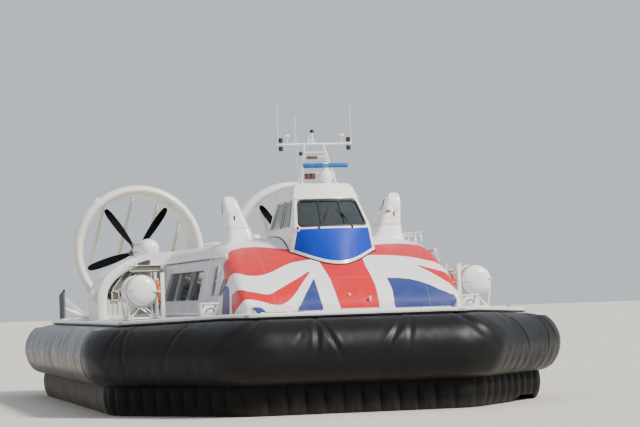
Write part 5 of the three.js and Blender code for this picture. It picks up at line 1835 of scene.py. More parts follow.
@dataclass
class Mast:
    """The mast, aerials and radar on the cockpit's roof."""

    middle: float = 0.065
    arm_z: float = 6.90
    arm_y: float = -6.33
    roof: float = 5.80
    foot_plate: Outline = ((0.0, 0.05), (0.045, 0.05), (0.055, 0.02), (0.055, 0.0), (0.0, 0.0))
    aerial_dome: Outline = (
        (0.0, 0.045), (0.045, 0.042), (0.075, 0.018), (0.078, -0.005), (0.05, -0.02), (0.0, -0.022),
    )
    whip_socket: Outline = ((0.0, 0.16), (0.013, 0.16), (0.018, 0.0), (0.0, 0.0))
    tall_dome: Outline = (
        (0.0, 0.362), (0.03, 0.360), (0.075, 0.345), (0.108, 0.305), (0.130, 0.24), (0.136, 0.17),
        (0.134, 0.06), (0.118, 0.0), (0.0, 0.0),
    )
    radar_housing: Outline = (
        (0.0, 0.42), (0.075, 0.42), (0.078, 0.37), (0.135, 0.33), (0.175, 0.26), (0.185, 0.19),
        (0.17, 0.11), (0.125, 0.04), (0.12, 0.0), (0.0, 0.0),
    )
    lamp_pot: Outline = (
        (0.0, 0.062), (0.04, 0.062), (0.058, 0.05), (0.06, -0.05), (0.045, -0.062), (0.0, -0.062),
    )
    trumpet: Outline = ((0.0, 0.0), (0.05, 0.0), (0.062, 0.015), (0.04, 0.06), (0.025, 0.14), (0.0, 0.14))

    def build_frame(self) -> None:
        """Builds the legs, crossbars, crossarm and everything white on them."""
        m, z, y, roof = self.middle, self.arm_z, self.arm_y, self.roof
        bench = Bench()
        bench.block((-0.40, -6.56, roof), (0.69, -5.75, roof + 0.03), 0.012)
        for foot, top in ((0.655, 0.29), (-0.30, -0.22)):
            bench.tube([(foot, -6.2, roof), (top, y, z)], 0.030, 14)
            bench.tube([(foot, -5.8, roof), (top, y + 0.02, z - 0.12)], 0.020, 12)
            for place in ((foot, -6.2), (foot, -5.8)):
                bench.spin(self.foot_plate, (*place, roof + 0.02), "Z", 16)
        for low, x0, x1 in ((6.56, -0.27, 0.44), (6.68, -0.25, 0.38)):
            bench.tube([(x0, y + 0.012, low), (x1, y + 0.012, low)], 0.018, 10)
        bench.tube([(-0.29, -6.0, 6.15), (0.56, -6.0, 6.15)], 0.014, 10)
        bench.tube([(m - 1.0, y, z), (m + 1.0, y, z)], 0.028, 14)
        for x in (m - 1.0, m + 1.0):
            bench.ball((x, y, z), (0.03, 0.03, 0.03))
        bench.tube([(0.0, y, z), (0.0, y, z + 0.30)], 0.022, 10)
        for foot in (-0.09, 0.09):
            bench.tube([(foot, y, z), (0.0, y, z + 0.20)], 0.012, 8)
        bench.tube([(-0.10, y, z), (-0.10, y, z + 0.22)], 0.014, 8)
        for side in (-1, 1):
            x = m + side * 0.74
            bench.tube([(x, y, z), (x, y, z + 0.20)], 0.012, 8)
            bench.spin(self.aerial_dome, (x, y, z + 0.215), "Z", 24)
            x = m + side * 0.985
            bench.tube([(x, y, z), (x, y, 7.35), (x, y, 8.02)], [0.010, 0.008, 0.006], 8)
            bench.spin(self.whip_socket, (x, y, z + 0.02), "Z", 12)
            for lift in (-0.11, 0.11):
                x = m + side * 0.915
                bench.tube([(x, y, z), (x, y, z + lift)], 0.016, 8)
        bench.tube([(-0.44, y, z), (-0.44, y, 7.65)], [0.009, 0.006], 8)
        for x in (-0.35, 0.66):
            bench.tube([(x, -6.0, roof), (x, -6.0, 6.80)], [0.010, 0.006], 8)
        bench.spin(self.tall_dome, (0.255, -6.6, roof + 0.02), "Z", 36)
        bench.spin(self.radar_housing, (0.19, -7.0, roof + 0.002), "Z", 28)
        bench.block((0.06, -7.13, roof), (0.40, -6.50, roof + 0.025), 0.01)
        bench.finish("mast", WHITE, replaces=("mast_frame",))

    def build_lamps(self) -> None:
        """Builds the dark lamps on the crossarm and the horn under the radar."""
        m, z, y = self.middle, self.arm_z, self.arm_y
        bench = Bench()
        for side in (-1, 1):
            for lift in (-0.11, 0.11):
                bench.spin(self.lamp_pot, (m + side * 0.915, y, z + lift), "Z", 20)
        bench.block((-0.36, y - 0.03, 6.60), (-0.28, y + 0.05, 6.70), 0.01)
        bench.ball((0.0, y, z + 0.34), (0.055, 0.055, 0.05))
        bench.finish("mast_lamps", GASKET)
        horn = Bench()
        horn.block((-0.33, -6.87, 5.95), (-0.06, -6.72, 6.10), 0.02)
        horn.tube([(-0.185, -6.80, self.roof), (-0.185, -6.80, 5.97)], 0.025, 10, paint=1)
        for x in (-0.26, -0.13):
            horn.spin(self.trumpet, (x, -6.96, 6.02), "Y", 20)
        horn.block((-0.17, -6.42, 6.50), (0.12, -6.32, 6.58), 0.015)
        horn.finish("horn", HORN_RED, WHITE)

    def build_radar(self) -> None:
        """Builds the radar's bar, which turns on its post."""
        z = self.roof + 0.4285
        bench = Bench()
        outline = [
            (-7.07, z + 0.04), (-7.04, z), (-6.96, z), (-6.93, z + 0.04), (-6.94, z + 0.11), (-7.0, z + 0.13),
            (-7.06, z + 0.11),
        ]
        bench.prism(outline, "X", -0.40, 0.78, 0.012)
        lift = 0.0012
        plate = [(a - lift * math.copysign(1, a + 7.0), b + lift) for a, b in outline]
        bench.prism(plate, "X", 0.12, 0.26, paint=1)
        bench.finish("radar_bar", RADAR_BLUE, WHITE, body="radar_scanner", replaces=("radar_scanner",))

    def build(self) -> None:
        """Builds the whole mast."""
        self.build_frame()
        self.build_lamps()
        self.build_radar()


@dataclass
class Thruster:
    """One bow thruster: a fixed fairing on the roof and an elbow that turns on it."""

    side: Side
    split: float = 4.74
    fairing: tuple[Row, ...] = (
        (4.15, 1.48, 2.48, -6.60, -5.18), (4.44, 1.59, 2.40, -6.52, -5.30), (4.74, 1.74, 2.37, -6.42, -5.44),
    )
    head: tuple[Row, ...] = (
        (4.748, 1.745, 2.365, -6.41, -5.45), (5.07, 1.88, 2.385, -6.33, -5.56),
        (5.34, 1.99, 2.40, -6.25, -5.68), (5.50, 2.06, 2.39, -6.16, -5.80), (5.57, 2.13, 2.33, -6.08, -5.90),
    )
    nozzle: tuple[float, float, float, float] = (-5.99, 5.25, 0.15, 0.1875)
    squareness: float = 0.45
    nozzle_lip: Outline = (
        (1.16, 0.0), (1.15, 0.012), (1.07, 0.022), (1.0, 0.012), (0.97, -0.01), (0.94, -0.10), (0.90, -0.20),
    )
    plug: Outline = ((0.0, 0.012), (0.03, 0.012), (0.045, 0.006), (0.045, -0.02), (0.0, -0.02))
    plug_eye: Outline = ((0.0, -0.016), (0.02, -0.016), (0.02, 0.0), (0.0, 0.0))
    shape: CabinShape = field(default_factory=lambda: CABIN)

    def around(self, table: SmoothTable, angle: float, z: float, scale: float = 1.0) -> Vector:
        """Returns a place on a rounded post at an angle and a height."""
        inner, outer, front, back = table.at(z)
        c, s = math.cos(angle), math.sin(angle)
        x = (inner + outer) / 2 + (outer - inner) / 2 * scale * math.copysign(abs(c) ** self.squareness, c)
        y = (front + back) / 2 + (back - front) / 2 * scale * math.copysign(abs(s) ** self.squareness, s)
        return Vector((self.side.value * x, y, z))

    def build_fairing(self) -> None:
        """Builds the fixed fairing, trimmed to the roof, with its joint ring."""
        table = SmoothTable(self.fairing)
        word = self.side.word
        bench = Bench()
        angles = full_turn(72)

        def place(angle: float, share: float) -> Vector:
            """Places a point between the roof's skin and the joint, flared at its foot."""
            foot = self.around(table, angle, 4.35)
            low = self.shape.height(foot.x, foot.y) - 0.04
            z = low + (self.split - low) * share
            flare = 0.05 * max(0.0, 1.0 - share * 4.0) ** 2
            point = self.around(table, angle, z)
            middle = Vector((self.side.value * 2.0, -5.9, z))
            return point + (point - middle).normalized() * flare

        bench.sheet(angles, span(0, 1, 16), place, wrap=True, cap=True)
        bench.finish("thruster_base_" + word, WHITE, replaces=("thruster_fairing_" + word,))
        ring = Bench()
        low, high = self.split - 0.03, self.split - 0.006
        ring.sweep(angles, ((low, 1.0), (low, 1.03), (high, 1.03), (high, 1.0)), partial(self.around, table))
        ring.finish("thruster_ring_" + word, ROOF_WHITE)

    def build_head(self) -> None:
        """Builds the turning elbow with its nozzle, which opens to starboard at rest."""
        table = SmoothTable(self.head)
        word = self.side.word
        y0, z0, wide, tall = self.nozzle
        opens_outer = self.side is Side.STARBOARD
        base = 0.0 if opens_outer else math.pi

        def skip(angle: float, z: float) -> bool:
            """Says whether a face lies in the nozzle's mouth."""
            point = self.around(table, angle, z)
            reach = math.hypot((point.y - y0) / wide, (point.z - z0) / tall)
            return math.cos(angle - base) > 0.3 and reach < 0.98

        bench = Bench()
        heights = span(4.748, 5.50, 56) + [5.52, 5.54, 5.555, 5.566, 5.57]
        bench.sheet(full_turn(150), heights, partial(self.around, table), skip=skip, wrap=True, wall=0.012)
        for z in (5.565, 4.7485):
            cap = [tuple(self.around(table, a, z, 0.93).xy) for a in full_turn(72)[:-1]]
            bench.prism(cap, "Z", z - 0.006, z + 0.004)

        def on_rim(angle: float, reach: float) -> Vector:
            """Returns the place on the elbow's flank at an angle round the mouth and a share of its size."""
            y, z = y0 + wide * reach * math.cos(angle), z0 + tall * reach * math.sin(angle)
            inner, outer, front, back = table.at(z)
            half = min(0.999, abs((y - (front + back) / 2) / ((back - front) / 2))) ** (1 / self.squareness)
            across = math.sqrt(max(0.0, 1.0 - half * half)) ** self.squareness
            edge = (inner + outer) / 2 + (outer - inner) / 2 * across * (1 if opens_outer else -1)
            return Vector((self.side.value * edge, y, z))

        def lip(angle: float, i: float) -> Vector:
            """Places a point of the lip and of the bore behind it."""
            reach, out = self.nozzle_lip[int(i)]
            return on_rim(angle, reach) - Vector((out, 0.0, 0.0))

        bench.sheet(full_turn(40), range(len(self.nozzle_lip)), lip, wrap=True, wall=0.004)
        middle = on_rim(0.0, 0.0)

        def disc(angle: float, reach: float) -> Vector:
            """Places a point of the dark disc at the bore's end."""
            y, z = wide * 0.93 * reach * math.cos(angle), tall * 0.93 * reach * math.sin(angle)
            return middle + Vector((0.17, y, z))

        bench.sheet(full_turn(40), (0.0, 0.5, 1.0), disc, wrap=True, wall=0.004, paint=1)
        x = middle.x + 0.05
        for k in range(5):
            z = z0 + (k - 2) * 0.062
            half = wide * 0.9 * math.sqrt(1 - min(0.98, ((z - z0) / (tall * 0.95)) ** 2))
            bench.block((x - 0.03, y0 - half, z - 0.004), (x + 0.03, y0 + half, z + 0.004), paint=2)
        body = "bow_thruster_" + word
        bench.finish("thruster_elbow_" + word, WHITE, GASKET, GREY, body=body, replaces=(body,), angle=40.0)

    def build_details(self) -> None:
        """Builds the slot, plug and lamp on the elbow's front."""
        table = SmoothTable(self.head)
        sign = self.side.value
        bench = Bench()

        def front(share: float, z: float) -> Vector:
            """Returns a place on the elbow's front for a share of its width and a height."""
            inner, outer, bow, _ = table.at(z)
            return Vector((sign * (inner + (outer - inner) * share), bow + 0.02 * (2 * share - 1) ** 4, z))

        x, y, z = front(0.72, 5.12)
        bench.spin(self.plug, (x, y - 0.008, z), "Y", 20)
        bench.spin(self.plug_eye, (x, y - 0.008, z), "Y", 16, paint=1)
        x, y, z = front(0.60, 4.95)
        bench.block((x - 0.018, y - 0.006, z - 0.10), (x + 0.018, y + 0.03, z + 0.10), 0.004, paint=1)
        if self.side is Side.PORT:
            x, y, z = front(0.25, 5.08)
            bench.block((x - 0.06, y - 0.03, z - 0.03), (x + 0.06, y + 0.02, z + 0.03), 0.012, paint=2)
        body = "bow_thruster_" + self.side.word
        bench.finish("thruster_details_" + self.side.word, WHITE, GASKET, LAMP_AMBER, body=body)

    def build(self) -> None:
        """Builds the whole thruster."""
        self.build_fairing()
        self.build_head()
        self.build_details()


@dataclass
class RoofRail:
    """The low double hoop on the port roof edge."""

    start: float = -7.60
    end: float = -5.00
    foot: float = 4.20

    def build(self) -> None:
        """Builds the two hoops and their feet."""
        bench = Bench()
        for x, top, cut in ((2.56, 4.47, 0.0), (2.50, 4.40, 0.35)):
            start, end, foot = self.start + cut, self.end - cut, self.foot
            path = [(x, start, foot), (x, start + 0.06, top - 0.08), (x, start + 0.30, top)]
            path += [(x, end - 0.30, top), (x, end - 0.06, top - 0.08), (x, end, foot)]
            bench.tube(round_path(path, 6), 0.02, 10)
        for y in span(self.start + 0.6, self.end - 0.6, 2):
            bench.tube([(2.56, y, self.foot), (2.56, y, 4.47)], 0.014, 10)
        bench.finish("roof_rail_port", WHITE)


@dataclass
class FanHood:
    """One lift fan housing: an arched hood with a rounded lip round a recessed, louvred intake."""

    side: Side
    front: float = 1.50
    back: float = 3.60
    inner: float = 0.42
    outer: float = 4.85
    spring: float = 3.0
    crown_x: float = 2.70
    crown_z: float = 4.33
    lip_section: Outline = (
        (0.0, 0.03), (0.0, -0.02), (0.03, -0.055), (0.14, -0.075), (0.25, -0.055), (0.285, -0.01),
        (0.285, 0.30), (0.26, 0.32), (0.02, 0.32),
    )
    lip_stations: int = 26
    louvre_frames: tuple[tuple[Flat, Flat, float, float], ...] = (
        ((2.94, 3.95), (3.90, 3.95), 0.18, -0.16), ((3.90, 3.91), (4.40, 3.27), 0.19, 0.0),
        ((4.41, 3.24), (4.41, 2.94), 0.22, 0.0),
    )
    bolt: Outline = ((0.0, 0.03), (0.02, 0.03), (0.022, 0.0), (0.0, 0.0))

    def arch(self, inset: float, steps: int = 28) -> list[Flat]:
        """Returns the arch's outline in X and Z, from its outer foot over the crown to its inner foot."""
        foot = deck_height(self.outer) - 0.01
        points = [(self.outer - inset, z) for z in span(foot, self.spring, 6)[:-1]]
        for i in range(steps + 1):
            angle = math.pi / 2 * i / steps
            x = self.crown_x + (self.outer - inset - self.crown_x) * math.cos(angle)
            points.append((x, self.spring + (self.crown_z - inset - self.spring) * math.sin(angle)))
        for x in span(self.crown_x, 0.60 + inset, 8)[1:]:
            points.append((x, self.crown_z - inset - 0.035 * (self.crown_x - x)))
        inner = self.inner + inset
        return points + [(inner, 4.16 - inset), (inner, 3.4), (inner, DECK_TOP)]

    def build_shell(self) -> None:
        """Builds the housing's body and the fat lip round its mouth."""
        sign, word = self.side.value, self.side.word
        refined_copy("fan_housing_" + word, "hood_shell_" + word, HOOD_WHITE, 0.02)
        lines = {inset: self.arch(inset) for inset, _ in self.lip_section}

        def place(k: float, inset: float, back: float) -> Vector:
            """Places a point of the lip's section beside one point of the arch."""
            x, z = lines[inset][int(k)]
            return Vector((sign * x, self.front + back, z))

        lip = Bench()
        lip.sweep(range(self.lip_stations), self.lip_section, place, cap=True)
        lip.finish("hood_lip_" + word, WHITE, angle=50.0)

    def build_intake(self) -> None:
        """Builds the louvred panels under the arch, the slats beside them and the battened panel below."""
        sign, word = self.side.value, self.side.word
        bench = Bench()
        y = self.front + 0.10
        for (x0, z0), (x1, z1), width, ahead in self.louvre_frames:
            run = Vector((x1 - x0, 0.0, z1 - z0))
            along = run.normalized()
            across = Vector((-along.z, 0.0, along.x)) * (1 if along.x > 0 or along.z < 0 else -1)
            inward = -across if across.z > 0 or across.x > 0 else across
            middle = Vector((x0, y, z0)) + run / 2 + inward * width / 2
            turn = Matrix((along, Vector((0, 1, 0)), along.cross(Vector((0, 1, 0))))).transposed().to_4x4()
            place = Matrix.Translation(Vector((sign * middle.x, middle.y + ahead, middle.z)))
            if sign < 0:
                turn = Matrix.Diagonal((-1, 1, 1, 1)) @ turn
            at = place @ turn
            half = run.length / 2
            for low in (-width / 2, width / 2 - 0.025):
                bench.block((-half, -0.02, low), (half, 0.10, low + 0.025), 0.004, paint=1, turn=at)
            for end in (-half, half - 0.03):
                bench.block((end, -0.02, -width / 2), (end + 0.03, 0.10, width / 2), 0.004, paint=1, turn=at)
            count = max(3, round(width / 0.045))
            for i in range(count):
                low = -width / 2 + 0.03 + (width - 0.06) * (i + 0.5) / count
                tilt = Matrix.Translation((0, 0.03, low)) @ Matrix.Rotation(math.radians(38), 4, "X")
                bench.block((-half + 0.02, -0.03, -0.004), (half - 0.02, 0.03, 0.004), turn=at @ tilt)
        for i in range(26):
            z = 2.56 + i * 0.046
            along = (self.front - 0.05, self.front - 0.004)
            bench.side_block(self.side, (2.95, 3.24), along, (z, z + 0.03), 0.004)
        for x in (2.93, 3.24):
            along = (self.front - 0.055, self.front - 0.002)
            bench.side_block(self.side, (x, x + 0.02), along, (2.52, 3.76), 0.004, 1)
        bench.finish("intake_louvres_" + word, LOUVRE, BEIGE, angle=30.0)

        panel = Bench()
        foot = deck_height(4.2) + 0.01
        panel.side_block(self.side, (3.74, 4.54), (y + 0.05, y + 0.09), (foot, 2.95), 0.004)
        for x in span(3.78, 4.50, 5):
            panel.side_block(self.side, (x - 0.015, x + 0.015), (y + 0.02, y + 0.052), (foot, 2.94), 0.004)
        panel.side_block(self.side, (3.26, 4.54), (y + 0.03, y + 0.10), (2.93, 2.97), 0.006)
        panel.tube([(sign * 3.74, y + 0.05, foot), (sign * 3.74, y + 0.05, 2.95)], 0.02, 10)
        panel.finish("intake_panel_" + word, BEIGE)

    def build_side_fittings(self) -> None:
        """Builds the bracket with its bolts on the housing's outer side."""
        sign, word = self.side.value, self.side.word
        bench = Bench()
        start, end = self.outer + 0.02, self.outer + 0.14
        bench.side_block(self.side, (start, end), (1.75, 1.95), (2.95, 3.25), 0.02)
        for z in (3.0, 3.2):
            bench.spin(self.bolt, (sign * end, 1.85, z), "X", 12, paint=1)
        bench.finish("hood_bracket_" + word, ROOF_WHITE, GASKET)

    def build(self) -> None:
        """Builds the whole housing."""
        self.build_shell()
        self.build_intake()
        self.build_side_fittings()


@dataclass
class PropellerDrive:
    """One stern drive: engine bay, pylon with its nacelle, duct, propeller and bank of rudders."""

    side: Side
    x: float = 2.55
    z: float = 4.53
    front: float = 8.60
    back: float = 9.85
    bore: float = 1.76
    lip: float = 2.12
    cant: float = 15.0
    propeller_y: float = 9.15
    rudder_y: float = 10.19
    offsets: tuple[float, ...] = (-1.275, -0.425, 0.425, 1.275)
    rudder_circle: float = 1.93
    nacelle_start: float = 6.1
    nacelle: Outline = (
        (0.0, 0.0), (0.09, 0.008), (0.16, 0.03), (0.225, 0.075), (0.27, 0.14), (0.30, 0.23), (0.315, 0.34),
        (0.32, 0.6), (0.315, 1.1), (0.30, 1.7), (0.27, 2.1), (0.23, 2.4), (0.20, 2.65), (0.19, 2.785),
        (0.0, 2.79),
    )
    pylon: tuple[Row, ...] = (
        (3.555, 0.30, 6.25, 8.15), (3.62, 0.26, 6.30, 8.10), (4.1, 0.20, 6.45, 7.98), (4.60, 0.16, 6.55, 7.9),
    )
    hub: Outline = (
        (0.0, -0.235), (0.10, -0.232), (0.16, -0.215), (0.185, -0.15), (0.19, -0.05), (0.19, 0.12),
        (0.172, 0.20), (0.14, 0.26), (0.09, 0.31), (0.04, 0.338), (0.0, 0.345),
    )
    cuff: Outline = ((0.0, 0.16), (0.085, 0.16), (0.085, 0.24), (0.07, 0.25), (0.07, 0.30), (0.0, 0.30))
    blade_rows: tuple[Row, ...] = (
        (0.13, 0.12, 0.11, 64), (0.25, 0.13, 0.10, 58), (0.42, 0.23, 0.065, 48), (0.90, 0.30, 0.040, 34),
        (1.40, 0.265, 0.026, 26), (1.62, 0.19, 0.018, 23), (1.69, 0.10, 0.012, 22), (1.70, 0.03, 0.006, 22),
    )
    blade_marks: Row = (
        0.13, 0.18, 0.25, 0.33, 0.42, 0.55, 0.7, 0.9, 1.1, 1.25, 1.4, 1.5, 1.57, 1.62, 1.66, 1.685, 1.697,
        1.70,
    )
    rudder_foil: Outline = (
        (-0.20, 0.0), (-0.195, 0.014), (-0.175, 0.029), (-0.13, 0.041), (-0.06, 0.048), (0.02, 0.047),
        (0.15, 0.034), (0.28, 0.020), (0.378, 0.010),
    )

    @property
    def centre(self) -> Point:
        """The middle of the duct at Y = 0."""
        return (self.side.value * self.x, 0.0, self.z)

    def canted(self, y: float) -> Matrix:
        """Returns the place of the bank of rudders at a Y, turned by its cant."""
        sign = self.side.value
        turn = Matrix.Rotation(math.radians(-sign * self.cant), 4, "Y")
        return Matrix.Translation((sign * self.x, y, self.z)) @ turn

    def rudder_reach(self, offset: float) -> float:
        """Returns half the height of the rudder that stands off the bank's middle by an offset."""
        return math.sqrt(self.rudder_circle**2 - offset**2) - 0.06

    def build_bay(self) -> None:
        """Builds the engine bay's casing."""
        word = self.side.word
        refined_copy("engine_bay_" + word, "engine_casing_" + word, ROOF_WHITE, 0.012)

    def build_pylon(self) -> None:
        """Builds the nacelle with its two bands and the pylon under it."""
        word = self.side.word
        bench = Bench()
        cx, _, cz = self.centre
        bench.spin(self.nacelle, (cx, self.nacelle_start, cz), "Y", 56)
        for along, radius in ((0.62, 0.326), (2.05, 0.281)):
            bench.band(radius - 0.02, radius, 0.02, (cx, self.nacelle_start + along, cz), ease=0.002)
        levels = SmoothTable(self.pylon)

        def foil(angle: float, z: float) -> Vector:
            """Places a point of the pylon, round at its front and thin at its back."""
            half, start, end = levels.at(z)
            c = math.cos(angle)
            along = (start + end) / 2 - (end - start) / 2 * c
            thick = half * abs(math.sin(angle)) ** 0.8 * (1.0 + 0.25 * c)
            return Vector((cx + math.copysign(thick, math.sin(angle)), along, z))

        heights = (3.56, 3.58, 3.62, 3.7, 3.8, 3.95, 4.1, 4.3, 4.5)
        bench.sheet(full_turn(48), heights, foil, wrap=True, cap=True)
        bench.finish("nacelle_" + word, WHITE, replaces=("propeller_pylon_" + word,), angle=40.0)

    def duct_profile(self) -> list[Flat]:
        """Returns the duct's section as radius and place behind its front, all round."""
        b = self.bore
        given = (
            (b, 0.70), (b + 0.004, 0.50), (b + 0.03, 0.27), (b + 0.075, 0.12), (b + 0.14, 0.03),
            (b + 0.205, 0.0), (b + 0.275, 0.03), (b + 0.33, 0.10), (b + 0.357, 0.20), (b + 0.355, 0.36),
            (b + 0.32, 0.58), (b + 0.25, 0.84), (b + 0.17, 1.08), (b + 0.115, 1.235),
        )
        line = [tuple(p) for p in round_path(given, 4)]
        return line + [(b + 0.10, 1.25), (b + 0.01, 1.25), (b, 1.24), (b, 1.0)]

    def build_duct(self) -> None:
        """Builds the duct's ring with its fat lip, its saddle on the deck and the rudders' brackets."""
        word, sign = self.side.word, self.side.value
        cx, _, cz = self.centre
        bench = Bench()
        bench.spin(self.duct_profile(), (cx, self.front, cz), "Y", 128, closed=True)
        arc = []
        for angle in span(math.radians(-140), math.radians(-40), 18):
            arc.append((cx + 1.90 * math.cos(angle), cz + 1.90 * math.sin(angle)))
        low = [(x, deck_height(x)) for x in (cx + 1.35, cx + 0.6, cx - 0.6, cx - 1.35)]
        bench.prism([*arc, (arc[-1][0], 3.22), *low, (arc[0][0], 3.22)], "Y", 8.92, 9.68, 0.02)
        at = Matrix.Translation((cx, 0.0, cz)) @ Matrix.Rotation(math.radians(sign * 38), 4, "Y")
        lug_start, lug_end = self.front + 0.12, self.front + 0.24
        bench.block((-0.09, lug_start, self.lip - 0.02), (0.09, lug_end, self.lip + 0.05), 0.012, turn=at)
        at = self.canted(0.0)
        start, end = self.back - 0.06, self.back + 0.47
        for offset in self.offsets:
            for way in (-1, 1):
                x, z = sign * offset, way * (self.rudder_reach(offset) + 0.047)
                arm = [(x - 0.045, start), (x + 0.045, start), (x + 0.035, end), (x - 0.035, end)]
                bench.prism(arm, "Z", z - 0.033, z + 0.033, 0.006, turn=at)
                top = z + way * 0.13
                web = [(start - 0.04, z), (start + 0.36, z), (start + 0.04, top), (start - 0.04, top)]
                bench.prism(web, "X", x - 0.012, x + 0.012, turn=at)
        bench.finish("duct_" + word, CREAM_WHITE, replaces=("propeller_duct_" + word,), angle=40.0)

    def build_propeller(self) -> None:
        """Builds the hub and the five blades, with two of them up in a V."""
        word = self.side.word
        cx, _, cz = self.centre
        y = self.propeller_y
        bench = Bench()
        bench.spin(self.hub, (cx, y, cz), "Y", 40, paint=1)
        rows = SmoothTable(self.blade_rows)

        def blade(angle: float, r: float) -> Vector:
            """Places a point of a blade that stands along Z."""
            chord, thick, twist = rows.at(r)
            turn = math.radians(twist)
            c = -0.5 * math.cos(angle)
            h = 0.5 * math.sin(angle) * (1.0 - 0.45 * (c + 0.5))
            along, out = c * chord, h * thick
            cosine, sine = math.cos(turn), math.sin(turn)
            return Vector((along * cosine - out * sine, along * sine + out * cosine, r))

        for angle in (36, 108, 180, 252, 324):
            turn = Matrix.Translation((cx, y, cz)) @ Matrix.Rotation(math.radians(angle), 4, "Y")
            bench.spin(self.cuff, (0.0, 0.0, 0.0), "Z", 20, paint=1, turn=turn)
            bench.sheet(full_turn(28), self.blade_marks, blade, wrap=True, cap=True, turn=turn)
        name = "propeller_" + word
        bench.finish("propeller_blades_" + word, BLADE, GREY, body=name, replaces=(name,))

    def build_rudders(self) -> None:
        """Builds the four rudders with their ribs and end plates."""
        word, sign = self.side.word, self.side.value
        outline = [(b, a) for a, b in self.rudder_foil] + [(-b, a) for a, b in reversed(self.rudder_foil[1:])]
        grown = [(b * 1.12, a * 1.01) for b, a in outline]
        for number, offset in enumerate(self.offsets, 1):
            reach = self.rudder_reach(offset)
            at = self.canted(self.rudder_y) @ Matrix.Translation((sign * offset, 0.0, 0.0))
            bench = Bench()
            bench.prism(outline, "Z", -reach, reach, turn=at)
            for z in (-reach + 0.003, reach - 0.011, *span(-reach * 0.6, reach * 0.6, 3)):
                bench.prism(grown, "Z", z, z + 0.008, turn=at)
            name = f"rudder_{word}_{number}"
            bench.finish(f"rudder_blade_{word}_{number}", CREAM, body=name, replaces=(name,), angle=30.0)

    def build(self) -> None:
        """Builds the whole drive."""
        self.build_bay()
        self.build_pylon()
        self.build_duct()
        self.build_propeller()
        self.build_rudders()


